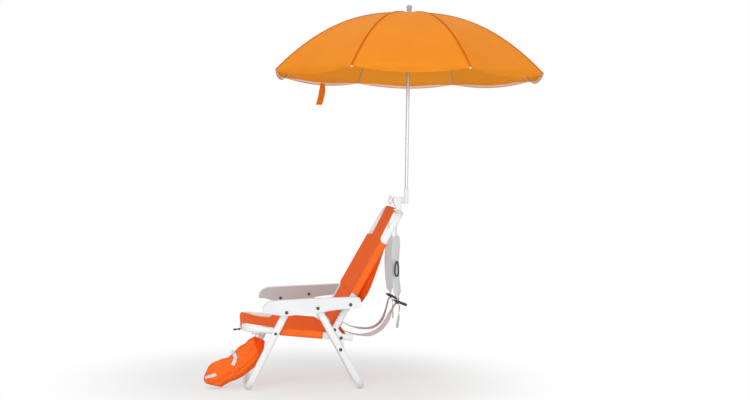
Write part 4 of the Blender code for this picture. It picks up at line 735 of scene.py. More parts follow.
def laid_cloth(name, rows, place, material, body, nodes, seed):
    """Sling from rows of (along, normal, half width, sag, sleeve or not)."""
    bm = bmesh.new()
    total = COLUMNS + 2 * SLEEVE_COLUMNS
    inner = COLUMNS / total
    bmesh.ops.create_grid(bm, x_segments=total, y_segments=len(rows) - 1, size=0.5)
    travelled = [0.0]
    for one, two in zip(rows, rows[1:]):
        travelled.append(travelled[-1] + hypot(two[0] - one[0], two[1] - one[1]))
    flats, spare = {}, []
    for corner in bm.verts:
        row = round((corner.co.y + 0.5) * (len(rows) - 1))
        share = 2 * corner.co.x
        along, normal, half, sag, wraps = rows[row]
        side = copysign(1, share)
        if abs(share) <= inner + 0.0001:
            across = share / inner * half
            lift = puckers(across, along, wraps, seed) if sag > 0 else 0.0
            x, z = place(along, normal - sag * (1 - (across / HALF_WIDTH) ** 2) + lift)
            corner.co = (x, across, z)
            flats[corner] = (across, travelled[row])
            continue
        distance = (abs(share) - inner) / (1 - inner) * SLEEVE_LENGTH
        out, up = round_sleeve(distance)
        x, z = place(along, normal - CREST + up)
        corner.co = (x, side * (HALF_WIDTH + out), z)
        flats[corner] = (side * (HALF_WIDTH + distance), travelled[row])
        if not wraps:
            spare.append(corner)
    bmesh.ops.delete(bm, geom=spare, context="VERTS")
    weave_map(bm, flats)
    area = sum(face.calc_area() for face in bm.faces)
    piece = finish_piece(name, bm, material, body, nodes, angle=60)
    thicken(piece, CLOTH)
    size = (2 * (HALF_WIDTH + SLEEVE_LENGTH), travelled[-1])
    print(name, "cut", [round(value, 3) for value in size], "area", round(area, 4))
    return piece, size, area


def thicken(piece, thickness, offset=0.0):
    shell = piece.modifiers.new("cloth thickness", "SOLIDIFY")
    shell.thickness, shell.offset, shell.use_even_offset = thickness, offset, True


# %% [markdown]
# The seat dips about 20 mm under its own slack and the back about half of that. Both stay bare at the
# corners: there the cloth is cut in, and the straight ends of its sleeves show on the tubes.

# %% Seat and back slings
SEAT_WRAP, BACK_WRAP, FLARE = (0.123, 0.270), (0.141, 0.342), 0.014
SEAT_SAG, BACK_SAG, TAIL_SLOPE, LOWER_SLOPE = 0.020, 0.011, 0.30, 0.20
FRONT_HALF, NOTCH_HALF, REAR_HALF, NECK_HALF, LOWER_HALF = 0.132, 0.112, 0.160, 0.106, 0.158
REAR_BAR, REAR_BAR_R, LOWER_BAR, LOWER_BAR_R = (0.3330, 0.1765), 0.0060, (0.016, -0.002), 0.0080
STEP_ALONG = 0.0045


def rail_place(along, normal):
    return on_line(RAIL_FRONT, RAIL_ANGLE, along, normal)


def back_place(along, normal):
    return on_line(hinge["D"], BACK_ANGLE, along, normal)


def sag_along(along, start, end, sag):
    return sag * sin(pi * (along - start) / (end - start)) ** 0.8 if start < along < end else 0.0


def seat_half(along):
    start, end = SEAT_WRAP
    if along < start:
        base = FRONT_HALF - (FRONT_HALF - NOTCH_HALF) * sin(pi * max(0.0, along / start))
        return base + (HALF_WIDTH - base) * eased((along - start + FLARE * 2) / (FLARE * 2))
    return HALF_WIDTH + (REAR_HALF - HALF_WIDTH) * eased((along - end) / FLARE)


def back_half(along):
    start, end = BACK_WRAP
    if along > end:
        return NECK_HALF + (HALF_WIDTH - NECK_HALF) * eased(1 - (along - end) / FLARE)
    return LOWER_HALF + (HALF_WIDTH - LOWER_HALF) * eased(1 - (start - along) / FLARE)


def evenly(low, high, step=STEP_ALONG):
    count = max(1, round(abs(high - low) / step))
    return [low + (high - low) * index / count for index in range(count + 1)]


def seat_rows():
    run, rise = REAR_BAR[0] - RAIL_FRONT[0], REAR_BAR[1] - RAIL_FRONT[1]
    bar = (run * cos(RAIL_ANGLE) + rise * sin(RAIL_ANGLE), rise * cos(RAIL_ANGLE) - run * sin(RAIL_ANGLE))
    hug = REAR_BAR_R + CLOTH_GAP + CLOTH / 2
    start, end = SEAT_WRAP
    hem = round_bar((0, -OVAL_REACH), SLEEVE_R, 290, 180) + round_bar((0, OVAL_REACH), SLEEVE_R, 180, 96)
    rows = [(along, normal, FRONT_HALF, 0.0, False) for along, normal in hem]
    flats = evenly(0.002, start)[:-1] + evenly(start, end) + evenly(end, end + FLARE)[1:]
    for along in flats:
        drop = max(0.0, along - end) * TAIL_SLOPE
        rows.append((along, CREST - drop, seat_half(along), sag_along(along, 0, bar[0], SEAT_SAG),
                     start - 0.0001 <= along <= end + 0.0001))
    rear_top, tail = bar[1] + hug, end + FLARE
    fall = CREST - FLARE * TAIL_SLOPE - rear_top
    for along in evenly(tail, bar[0])[1:]:
        share = (along - tail) / (bar[0] - tail)
        sag = sag_along(along, 0, bar[0], SEAT_SAG) * (1 - 0.5 * min(1.0, share / 0.3))
        rows.append((along, rear_top + fall * (1 - share) ** 3, REAR_HALF, sag, False))
    rows += [(along, normal, REAR_HALF, 0.0, False) for along, normal in round_bar(bar, hug, 81, -120)]
    return rows


def back_rows():
    start, end = BACK_WRAP
    top = round_bar((BACK_LENGTH, -OVAL_REACH), SLEEVE_R, -110, 0)
    top += round_bar((BACK_LENGTH, OVAL_REACH), SLEEVE_R, 0, 84)
    rows = [(along, normal, NECK_HALF, 0.0, False) for along, normal in top]
    flats = evenly(BACK_LENGTH - 0.002, end + FLARE) + evenly(end + FLARE, end, 0.0028)[1:-1]
    flats += evenly(end, start) + evenly(start, start - FLARE, 0.0028)[1:]
    for along in flats:
        rows.append((along, CREST - max(0.0, start - along) * LOWER_SLOPE, back_half(along),
                     sag_along(along, start * 0.426, BACK_LENGTH, BACK_SAG),
                     start - 0.0001 <= along <= end + 0.0001))
    last = rows[-1]
    lower = [(last[0], last[1]), (start * 0.709, CREST * 0.68), (start * 0.426, CREST * 0.624)]
    lower += round_bar(LOWER_BAR, LOWER_BAR_R + CLOTH_GAP + CLOTH / 2, 90, 270, 30)
    lower += [(start * 0.355, -1.04 * CREST), (start * 0.638, -1.20 * CREST)]
    fade = last[3]
    for count, (along, normal) in enumerate(spline(lower, 6)[1:]):
        rows.append((along, normal, LOWER_HALF, fade * max(0.0, 1 - count / 14), False))
    return rows


seat_sheet, seat_size, seat_area = laid_cloth("seat_cloth", seat_rows(), rail_place, seat_cloth, "seat",
                                              ["seat_sling"], 3.1)
back_sheet, back_size, back_area = laid_cloth("back_cloth", back_rows(), back_place, seat_cloth, "back",
                                              ["back_sling"], 8.7)

# %% [markdown]
# A thin wall closes the inner side of each arm, so the tops of the legs turn in a slot. Two round
# nuts sit on it, at the front and middle screws. The wall is only 0.3 mm thick here, because the folded chair
# brings the cloth sleeves close past it.

# %% Inner walls of the arms
WALL_INNER, WALL_OUTER = 0.1906, 0.1909


def arm_wall(name, side):
    bm = bmesh.new()
    outline = [(ARM_START + a * ARM_LONG, ARM_LOW + 0.001 + b * (ARM_HIGH - 0.002)) for a, b in ARM_OUTLINE]
    low, high = sorted((side * WALL_INNER, side * WALL_OUTER))
    slab(bm, outline, low, high)
    bmesh.ops.recalc_face_normals(bm, faces=bm.faces)
    # The wall's grey finish is painted shade on the arm's white inner face.
    finish_piece("arm_inner_wall_" + name, bm, arm_painted_shade, "arms")
    bm = bmesh.new()
    for letter in "BF":
        x, z = hinge[letter]
        turn_profile(bm, [(0, 0.0003), (0.0030, 0.0003), (0.0034, 0.0002), (0.0056, 0.0002),
                          (0.0060, 0.0001), (0.0060, -0.0001), (0, -0.0001)],
                     facing(x, side * WALL_INNER, z, -side), 32)
    finish_piece("arm_nuts_" + name, bm, dark_rivet, "arms")


for name, side in (("left", -1), ("right", 1)):
    arm_wall(name, side)
print("arm walls")

# %% [markdown]
# Behind the back hangs a pocket of the same cloth, shallow at its mouth and deep at its bottom. It is
# drawn in the side view, pushed across, cut into small faces and then let out softly between its
# seams. A folded band closes its mouth.

# %% Pouch behind the back
POUCH_BOTTOM, POUCH_LENGTH, POUCH_DEPTH, POUCH_HALF = 0.104, 0.240, 0.043, 0.163
POUCH_NEAR = CREST - BACK_SAG - CLOTH / 2 - 0.0003
POUCH_SHAPE = [(1.0, 0.0), (1.0, 0.30), (0.70, 0.64), (0.343, 0.97), (0.20, 1.0), (0.029, 0.90), (0.0, 0.69),
               (0.029, 0.0)]


def pouch_place(up, deep):
    return back_place(POUCH_BOTTOM + POUCH_LENGTH * up, POUCH_NEAR - POUCH_DEPTH * deep)


def cross_strip(bm, route, low, high, count):
    """Sheet pushed across the chair over a route of X and Z places."""
    bmesh.ops.create_grid(bm, x_segments=count, y_segments=len(route) - 1, size=0.5)
    flats, travelled = {}, [0.0]
    for one, two in zip(route, route[1:]):
        travelled.append(travelled[-1] + hypot(two[0] - one[0], two[1] - one[1]))
    for corner in bm.verts:
        row = round((corner.co.y + 0.5) * (len(route) - 1))
        across = low + (high - low) * (corner.co.x + 0.5)
        flats[corner] = (across, travelled[row])
        corner.co = (route[row][0], across, route[row][1])
    return flats


def make_pouch():
    outer = spline([pouch_place(up, deep) for up, deep in POUCH_SHAPE[1:7]], 10)
    bm = bmesh.new()
    flats = cross_strip(bm, outer, -POUCH_HALF, POUCH_HALF, 90)
    first, last = Vector((outer[0][0], 0, outer[0][1])), Vector((outer[-1][0], 0, outer[-1][1]))
    for corner in bm.verts:
        across, along = flats[corner]
        edge = min(POUCH_HALF - abs(across), 0.05) / 0.05
        hold = min(1.0, (corner.co - first).length / 0.05, (corner.co - last).length / 0.05)
        fold = noise.noise(Vector((across * 9, along * 16, 2.2)))
        depth = 0.0026 * fold * hold + 0.0012 * sin(across * 140 + 5 * fold) * (1 - edge) * hold
        corner.co += Vector((cos(BACK_ANGLE - pi / 2), 0, sin(BACK_ANGLE - pi / 2))) * (depth - 0.0012)
    weave_map(bm, flats)
    piece = finish_piece("pouch_panel", bm, pouch_red_and_mouth_shade, "back", ["back_pouch"], angle=60)
    thicken(piece, CLOTH, -1.0)
    for name, side in (("left", -1), ("right", 1)):
        bm = bmesh.new()
        corners = [pouch_place(up, deep) for up, deep in POUCH_SHAPE]
        ring = [bm.verts.new((x, side * (POUCH_HALF - 0.0012), z)) for x, z in corners]
        bmesh.ops.contextual_create(bm, geom=ring)
        weave_map(bm, {corner: (corner.co.x, corner.co.z) for corner in bm.verts})
        thicken(finish_piece("pouch_side_" + name, bm, pouch_red_and_mouth_shade, "back"), CLOTH)
    bm = bmesh.new()
    band = [pouch_place(0.96, 0.345), pouch_place(1.0, 0.30), pouch_place(1.008, 0.27),
            pouch_place(0.96, 0.24)]
    flats = cross_strip(bm, spline(band, 4), -POUCH_HALF, POUCH_HALF, 40)
    weave_map(bm, flats)
    thicken(finish_piece("pouch_binding", bm, seat_thread, "back"), 0.0009)


make_pouch()
print("pouch sewn")

# %% [markdown]
# The umbrella stands in a cup on the clamp. Turned pieces are a profile spun round the pole: cup, pole,
# runner, crown and finial. Each rib and each strut is a wire, a small circle pushed from place to place.

# %% Clamp, cup and pole
SWIVEL_Z = at["umbrella_tilt"][2]
low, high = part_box("pole")
POLE_X, POLE_Y, POLE_R = (low[0] + high[0]) / 2, (low[1] + high[1]) / 2, (high[0] - low[0]) / 2
POLE_FOOT, POLE_TOP = low[2], high[2]
CLAMP_LOW, CLAMP_HIGH = (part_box("clamp_body")[end][1] for end in (0, 1))
HEAD_LEFT, HEAD_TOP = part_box("clamp_body")[0][0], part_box("clamp_body")[1][2]
HEAD_RIGHT = HEAD_LEFT + 0.026


def top_bar_place(along, normal):
    return back_place(BACK_LENGTH + along, normal)


def side_block(name, outline, low, high, material, body, nodes, round_off, corner_off=0.0):
    """Outline in the side view pushed across between two Y planes and rounded."""
    bm = bmesh.new()
    corners = [bm.verts.new((x, low, z)) for x, z in outline]
    face = bmesh.ops.contextual_create(bm, geom=corners)["faces"][0]
    if corner_off:
        bmesh.ops.bevel(bm, geom=list(bm.verts), offset=corner_off, offset_type="OFFSET", segments=3,
                        profile=0.5, affect="VERTICES", clamp_overlap=True, material=-1)
        face = bm.faces[:][0]
    made = bmesh.ops.extrude_face_region(bm, geom=[face], use_keep_orig=True)
    bmesh.ops.translate(bm, verts=new_verts(made), vec=(0, high - low, 0))
    bmesh.ops.recalc_face_normals(bm, faces=bm.faces)
    rim = [edge for edge in bm.edges if edge.is_manifold and edge.calc_face_angle() > radians(50)]
    soften(bm, rim, round_off, 3)
    return finish_piece(name, bm, material, body, nodes)


WALL, SLACK, GRIP_BACK, GRIP_FRONT = 0.0069, 0.0005, 0.0200, 0.0100
inside = TUBE_WIDE / 2 + SLACK
outside, roof = inside + WALL, TUBE_THICK / 2 + SLACK
shoulder = roof + WALL / 2
head_low = SWIVEL_Z - 0.016
clamp_outline = [(HEAD_LEFT, HEAD_TOP), (HEAD_LEFT, head_low + 0.006), top_bar_place(shoulder, outside),
                 top_bar_place(roof - GRIP_FRONT, outside), top_bar_place(roof - GRIP_FRONT, inside),
                 top_bar_place(roof, inside), top_bar_place(roof, -inside),
                 top_bar_place(roof - GRIP_BACK, -inside), top_bar_place(roof - GRIP_BACK, -outside),
                 top_bar_place(shoulder / 4, -outside), (HEAD_RIGHT, head_low), (HEAD_RIGHT, HEAD_TOP)]
side_block("clamp_moulding", clamp_outline, CLAMP_LOW, CLAMP_HIGH, white_plastic, "back", ["clamp_body"],
           0.0008, 0.0014)
reach, jaw_top, jaw_low = inside - SLACK, -TUBE_THICK / 2 - SLACK, roof - GRIP_BACK
side_block("clamp_jaw_pad", [top_bar_place(jaw_top, -reach), top_bar_place(jaw_top, reach),
                             top_bar_place(jaw_low, reach), top_bar_place(jaw_low, -reach)],
           CLAMP_LOW, CLAMP_HIGH, white_plastic, "back", ["clamp_jaw"], 0.0006)


def along_x(x, y, z, way):
    return Matrix.Translation((x, y, z)) @ Matrix.Rotation(way * pi / 2, 4, "Y")


bm = bmesh.new()
turn_profile(bm, [(0, 0.0160), (0.0070, 0.0160), (0.0080, 0.0152), (0.0138, 0.0152), (0.0153, 0.0146),
                  (0.0163, 0.0132), (0.0163, 0.0098), (0.0153, 0.0084), (0.0138, 0.0078),
                  (0.0078, 0.0070), (0.0070, 0.0062), (0.0070, 0.0008), (0.0062, 0.0), (0.0026, 0.0),
                  (0.0026, -0.0100), (0, -0.0100)],
             along_x(HEAD_LEFT - 0.0003, POLE_Y, SWIVEL_Z, -1), 64)
grips = [corner for corner in bm.verts
         if hypot(corner.co.y - POLE_Y, corner.co.z - SWIVEL_Z) > 0.0158]
for corner in grips:
    turn = atan2(corner.co.z - SWIVEL_Z, corner.co.y - POLE_Y)
    shrink = 1 - 0.045 * (0.5 + 0.5 * cos(turn * 16))
    corner.co.y = POLE_Y + (corner.co.y - POLE_Y) * shrink
    corner.co.z = SWIVEL_Z + (corner.co.z - SWIVEL_Z) * shrink
finish_piece("knob_moulding", bm, white_plastic, "clamp_knob", ["clamp_knob"])

cup_low, cup_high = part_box("pole_socket")
CUP_TOP, CUP_BOTTOM, CUP_R, BORE = cup_high[2], cup_low[2], 0.0088, POLE_R + 0.0004
bm = bmesh.new()
turn_profile(bm, [(0, CUP_BOTTOM + 0.006), (BORE, CUP_BOTTOM + 0.006), (BORE, CUP_TOP - 0.0006),
                  (BORE + 0.0006, CUP_TOP), (CUP_R - 0.0006, CUP_TOP), (CUP_R, CUP_TOP - 0.0006),
                  (CUP_R, CUP_TOP - 0.0046), (CUP_R - 0.0006, CUP_TOP - 0.0052),
                  (CUP_R - 0.0006, CUP_BOTTOM + 0.004), (CUP_R - 0.002, CUP_BOTTOM), (0, CUP_BOTTOM)],
                  Matrix.Translation((POLE_X, POLE_Y, 0)), 48)
swivel_low = HEAD_RIGHT + 0.0003
turn_profile(bm, [(0, POLE_X - BORE - swivel_low - 0.0003), (0.0075, POLE_X - BORE - swivel_low - 0.0003),
                  (0.0126, 0.0022), (0.0130, 0.0014), (0.0130, 0.0004), (0.0126, 0.0), (0.0026, 0.0),
                  (0.0026, -0.0100), (0, -0.0100)], along_x(swivel_low, POLE_Y, SWIVEL_Z, 1), 48)
finish_piece("cup_moulding", bm, white_plastic, "pole_socket", ["pole_socket"])

bm = bmesh.new()
turn_profile(bm, [(POLE_R - 0.001, POLE_TOP), (POLE_R - 0.0003, POLE_TOP), (POLE_R, POLE_TOP - 0.0003),
                  (POLE_R, POLE_FOOT + 0.0003), (POLE_R - 0.0003, POLE_FOOT), (POLE_R - 0.001, POLE_FOOT),
                  (POLE_R - 0.001, POLE_TOP)], Matrix.Translation((POLE_X, POLE_Y, 0)), 40)
finish_piece("pole_tube", bm, pole_metal, "umbrella", ["pole"])
print("clamp, knob, cup and pole turned")

# %% [markdown]
# Rib hinges lie on a ring under the crown and the struts meet the runner's collar. Pulling the runner
# down folds the ribs through the struts, as on any umbrella, and the cloth is drawn in with them.

# %% Ribs, struts, runner, crown and finial
RIBS, RIM_RADIUS, RIM_HEIGHT, RISE, DOME_POWER = 8, 0.485, 1.091, 0.217, 2.3
RIB_DEPTH, RIB_R, STRUT_R, CANOPY_CLOTH, HOLE_R = 0.0034, 0.0015, 0.0013, 0.0012, 0.0055
FLAP_LEAST, FLAP_DEPTH = 0.0020, 0.0180
CANOPY_TURN = radians(-8.0)


def dome(radius):
    return RIM_HEIGHT + RISE * (1 - (radius / RIM_RADIUS) ** DOME_POWER)


def under_dome(radius, depth):
    slope = -RISE * DOME_POWER / RIM_RADIUS * (radius / RIM_RADIUS) ** (DOME_POWER - 1)
    length = sqrt(1 + slope * slope)
    return radius + depth * slope / length, dome(radius) - depth / length


def rib_angle(index):
    return CANOPY_TURN + 2 * pi * (index - 0.5) / RIBS


def umbrella_place(radius, angle, height):
    return Vector((POLE_X + radius * cos(angle), POLE_Y + radius * sin(angle), height))


def wire(bm, route, radius, sides=10):
    """Small circle pushed along a route, square to it at every place."""
    route = [Vector(point) for point in route]
    guide = Vector((0, 0, 1)) if abs((route[-1] - route[0]).normalized().z) < 0.95 else Vector((0, 1, 0))
    ring = None
    for index, point in enumerate(route):
        ahead = (route[min(index + 1, len(route) - 1)] - route[max(index - 1, 0)]).normalized()
        side = ahead.cross(guide).normalized()
        turn = Matrix((side, ahead.cross(side), ahead)).transposed().to_4x4()
        if ring is None:
            made = bmesh.ops.create_circle(bm, cap_ends=True, segments=sides, radius=radius,
                                           matrix=Matrix.Translation(point) @ turn)
            ring = [edge for edge in made["verts"][0].link_faces[0].edges]
            home = (Matrix.Translation(point) @ turn).inverted()
            continue
        made = bmesh.ops.extrude_edge_only(bm, edges=ring)
        corners = new_verts(made)
        bmesh.ops.transform(bm, matrix=Matrix.Translation(point) @ turn @ home, verts=corners)
        home = (Matrix.Translation(point) @ turn).inverted()
        ring = ring_of(made)
    bmesh.ops.contextual_create(bm, geom=ring)


def rib_route():
    radius = 0.0123
    points = [(radius - 0.0012, dome(radius) - RIB_DEPTH), (radius, dome(radius) - RIB_DEPTH)]
    for step in range(1, 25):
        points.append(under_dome(radius + (RIM_RADIUS + 0.002 - radius) * step / 24, RIB_DEPTH))
    return points


collar_low, collar_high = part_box("runner")
RUNNER_TOP, RUNNER_FOOT, RUNNER_R = collar_high[2], collar_low[2], (collar_high[0] - collar_low[0]) / 2
strut_high, strut_low = under_dome(0.1700, RIB_DEPTH + 0.0029), (RUNNER_R + 0.0018, RUNNER_TOP - 0.004)
for index in range(1, RIBS + 1):
    turn = rib_angle(index)
    bm = bmesh.new()
    wire(bm, [umbrella_place(radius, turn, height) for radius, height in rib_route()], RIB_R)
    finish_piece(f"rib_wire_{index}", bm, wire_steel, f"rib_{index}", [f"rib_{index}"])
    bm = bmesh.new()
    wire(bm, [umbrella_place(radius, turn, height) for radius, height in (strut_high, strut_low)], STRUT_R)
    finish_piece(f"strut_wire_{index}", bm, wire_steel, f"strut_{index}", [f"strut_{index}"])
    bm = bmesh.new()
    tip = under_dome(RIM_RADIUS + 0.001, RIB_DEPTH)
    bmesh.ops.create_uvsphere(bm, u_segments=16, v_segments=10, radius=0.0030,
                              matrix=Matrix.Translation(umbrella_place(tip[0], turn, tip[1])))
    finish_piece(f"rib_tip_{index}", bm, white_plastic, f"rib_{index}")

bm = bmesh.new()
place_pole = Matrix.Translation((POLE_X, POLE_Y, 0))
turn_profile(bm, [(BORE, RUNNER_TOP), (RUNNER_R - 0.0006, RUNNER_TOP), (RUNNER_R, RUNNER_TOP - 0.0006),
                  (RUNNER_R, RUNNER_TOP - 0.0032), (RUNNER_R - 0.0008, RUNNER_TOP - 0.0036),
                  (RUNNER_R - 0.0008, RUNNER_TOP - 0.0046), (RUNNER_R, RUNNER_TOP - 0.0050),
                  (RUNNER_R, RUNNER_TOP - 0.0074), (RUNNER_R - 0.0006, RUNNER_TOP - 0.0080),
                  (0.0090, RUNNER_TOP - 0.0086), (0.0090, RUNNER_FOOT + 0.0006), (0.0084, RUNNER_FOOT),
                  (BORE, RUNNER_FOOT), (BORE, RUNNER_TOP)],
             place_pole, 48)
finish_piece("runner_moulding", bm, white_plastic, "runner", ["runner"])
crown_low, crown_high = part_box("crown")
crown_top = dome(0) - CANOPY_CLOTH / 2 - 0.0003
bm = bmesh.new()
turn_profile(bm, [(0, crown_high[2]), (0.0040, crown_high[2]), (0.0045, crown_high[2] - 0.0005),
                  (0.0045, crown_top), (0.0097, crown_top), (0.0103, crown_top - 0.0006),
                  (0.0103, crown_top - 0.0062), (0.0096, crown_top - 0.0066),
                  (0.0096, crown_top - 0.0082), (0.0103, crown_top - 0.0086),
                  (0.0103, crown_low[2] + 0.0006), (0.0097, crown_low[2]), (BORE, crown_low[2]),
                  (BORE, crown_top - 0.003), (0, crown_top - 0.003)], place_pole, 48)
finish_piece("crown_moulding", bm, white_plastic, "umbrella", ["crown"])
cap_low, cap_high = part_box("finial")
base, peak = cap_low[2], cap_high[2]
bm = bmesh.new()
turn_profile(bm, [(0, peak), (0.0040, peak - 0.0001), (0.0062, peak - 0.0007), (0.0088, peak - 0.0028),
                  (0.0099, peak - 0.0056), (0.0096, peak - 0.0085), (0.0083, base + 0.0085),
                  (0.0080, base + 0.006), (0.0086, base + 0.0035), (0.0099, base + 0.0012),
                  (0.0100, base), (0.0048, base), (0.0048, base + 0.0099), (0, base + 0.0099)],
             place_pole, 56)
finish_piece("finial_moulding", bm, grey_plastic, "umbrella", ["finial"])
print("ribs, struts, runner, crown and finial in place")

# %% [markdown]
# The canopy is eight flat-spanned gores, and between the rib tips each hem falls as a shallow flap with
# a white tape inside. It is modelled as eight panels, each centred on its rib, so that a panel follows
# its rib when the umbrella closes.

# %% Canopy
RING_SHARES = [0.0, 0.025, 0.06] + [0.06 + 0.94 * step / 34 for step in range(1, 35)]
ACROSS_STEPS = 12


def flap_depth(across):
    return FLAP_LEAST + FLAP_DEPTH * 4 * across * (1 - across)


def canopy_point(index, share, way, radius_share, flap, seed=0.0):
    """Place on the gore beside a rib: share is 0 on the rib and 0.5 in the middle of the gore."""
    radius = HOLE_R + (RIM_RADIUS - HOLE_R) * radius_share
    one = umbrella_place(radius, rib_angle(index), dome(radius))
    two = umbrella_place(radius, rib_angle(index + way), dome(radius))
    spot = one.lerp(two, share)
    fall = 4 * share * (1 - share)
    wave = noise.noise(Vector((spot.x * 9, spot.y * 9, seed)))
    slack = 0.004 * fall * sin(pi * min(1.0, radius_share)) * (1 + 0.8 * wave)
    drop = flap * flap_depth(share) + slack
    curl = flap * 0.0018 * wave * fall
    out = (one + two) / 2 - umbrella_place(0, 0, (one.z + two.z) / 2)
    return spot - Vector((0, 0, drop)) + out.normalized() * (curl + 0.0014 * flap * fall)


def panel_cloth(index):
    rows = [(share, 0.0) for share in RING_SHARES] + [(1.0, 0.25 * step) for step in range(1, 5)]
    bm = bmesh.new()
    bmesh.ops.create_grid(bm, x_segments=2 * ACROSS_STEPS, y_segments=len(rows) - 1, size=0.5)
    flats = {}
    for corner in bm.verts:
        row = round((corner.co.y + 0.5) * (len(rows) - 1))
        reach, flap = rows[row]
        share = corner.co.x
        way = 1 if share > 0 else -1
        wide = 2 * RIM_RADIUS * sin(pi / RIBS)
        flats[corner] = (index + share * wide * reach, reach * 0.53 + flap * flap_depth(abs(share)))
        corner.co = canopy_point(index, abs(share), way, reach, flap)
    weave_map(bm, flats)
    area = sum(face.calc_area() for face in bm.faces)
    bm.normal_update()
    if sum(face.normal.z for face in bm.faces) < 0:
        bmesh.ops.reverse_faces(bm, faces=bm.faces)
    piece = finish_piece(f"canopy_panel_{index}", bm, canopy_cloth, f"rib_{index}", ["canopy"],
                         fix_normals=False, angle=80)
    # The inner shell takes the lighter orange: painted light for light soaking through the cloth.
    piece.data.materials.append(canopy_underside_painted_light)
    thicken(piece, 0.0005)
    shell = piece.modifiers["cloth thickness"]
    shell.use_rim, shell.material_offset = False, 1
    return piece, area


def strip_along(bm, places, sides, ups, widths):
    """Narrow strip laid along places, with its width along sides and lifted along ups."""
    made = bmesh.ops.create_grid(bm, x_segments=4, y_segments=len(places) - 1, size=0.5)
    flats, travelled = {}, [0.0]
    for one, two in zip(places, places[1:]):
        travelled.append(travelled[-1] + (two - one).length)
    for corner in made["verts"]:
        row = round((corner.co.y + 0.5) * (len(places) - 1))
        share = 2 * corner.co.x
        flats[corner] = (share * widths / 2, travelled[row])
        corner.co = places[row] + sides[row] * (share * widths / 2) + ups[row] * (1 - share * share)
    weave_map(bm, flats)


def rib_seam(index):
    """Felled seam that stands over each rib from the crown to the tip."""
    turn = rib_angle(index)
    across = Vector((-sin(turn), cos(turn), 0))
    places = [canopy_point(index, 0, 1, share, 0) + Vector((0, 0, 0.0006)) for share in RING_SHARES[1:]]
    bm = bmesh.new()
    strip_along(bm, places, [across] * len(places), [Vector((0, 0, 0.0012))] * len(places), 0.0064)
    piece = finish_piece(f"canopy_seam_{index}", bm, canopy_seam, f"rib_{index}", angle=80)
    thicken(piece, 0.0005)
    return piece


def hem_tape(index):
    """White tape sewn inside the flap, a little above its edge."""
    places, downs, ups = [], [], []
    for step in range(-ACROSS_STEPS, ACROSS_STEPS + 1):
        share, way = abs(step) / (2 * ACROSS_STEPS), 1 if step >= 0 else -1
        depth = flap_depth(share)
        room = min(1.0, max(0.02, (depth - 0.0035) / 0.0095))
        edge = canopy_point(index, share, way, 1.0, max(0.0, 1 - 0.0070 * room / depth))
        inward = umbrella_place(0, 0, edge.z) - edge
        places.append(edge + inward.normalized() * 0.0012)
        downs.append(Vector((0, 0, -room)))
        ups.append(inward.normalized() * 0.0003)
    bm = bmesh.new()
    half = len(places) // 2
    for first, last in ((0, half), (half, len(places))):
        strip_along(bm, places[first:last], downs[first:last], ups[first:last], 0.0075)
    piece = finish_piece(f"hem_tape_{index}", bm, white_tape, f"rib_{index}", angle=80)
    thicken(piece, 0.0004)
    return piece


canopy_area, PANEL_CUT = 0.0, (2 * RIM_RADIUS * sin(pi / RIBS), 0.575)
for index in range(1, RIBS + 1):
    panel_piece, area = panel_cloth(index)
    canopy_area += area
    turn = rib_angle(index)
    trims = [rib_seam(index), hem_tape(index)]
    for piece in [panel_piece] + trims:
        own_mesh(piece)
print("canopy cloth", round(canopy_area, 3), "square metres in eight panels")

# %% [markdown]
# Two shoulder straps hang behind the back. The upper part of each is a pad, two cloths sewn round foam,
# and a narrow tape ties it to the top bar. A pad starts as a thin closed form laid along its route. The
# cloth simulation then swells it, held still at its seams, and the stitching is laid on it afterwards.

# %% Shoulder pads
STRAP_PLACE, PAD_WIDE, PAD_THICK, WEB_WIDE, WEB_THICK = 0.0900, 0.0480, 0.0072, 0.0250, 0.0014
TOP_BAR, WEB_END, WEB_LENGTH = back_place(BACK_LENGTH, 0), (0.5215, 0.2858), 0.1955
PAD_TOP = (TOP_BAR[0] + 0.009528, TOP_BAR[1] - 0.011089)
PAD_LENGTH = PAD_TOP[1] - WEB_END[1] - 0.0147
PAD_ROUTE = [(0.0, 0.0), (-0.0245, 0.0618), (-0.0383, 0.1711), (-0.0307, 0.3693), (-0.0383, 0.5689),
             (-0.0274, 0.7674), (-0.0083, 0.9164), (0.0020, 1.0)]
PAD_STARTS, PAD_TWIST = 0.235, [(0.0, 0), (0.15, 24), (0.30, 42), (0.90, 42), (1.0, 14)]


def between_stops(share, stops):
    """Value in degrees at a share of the way, eased between its stops, in radians."""
    for (low, first), (high, last) in zip(stops, stops[1:]):
        if share <= high:
            return radians(first + (last - first) * eased((share - low) / (high - low)))
    return radians(stops[-1][1])


def strap_frames(path, turns):
    """For each place of a strap: its middle, the way its width lies and the way its face looks."""
    frames = []
    for index, turn in enumerate(turns):
        ahead = path[min(index + 1, len(path) - 1)] - path[max(index - 1, 0)]
        level = Vector((0, 1, 0))
        upright = ahead.cross(level).normalized()
        frames.append((path[index], level * cos(turn) + upright * sin(turn),
                       upright * cos(turn) - level * sin(turn)))
    return frames


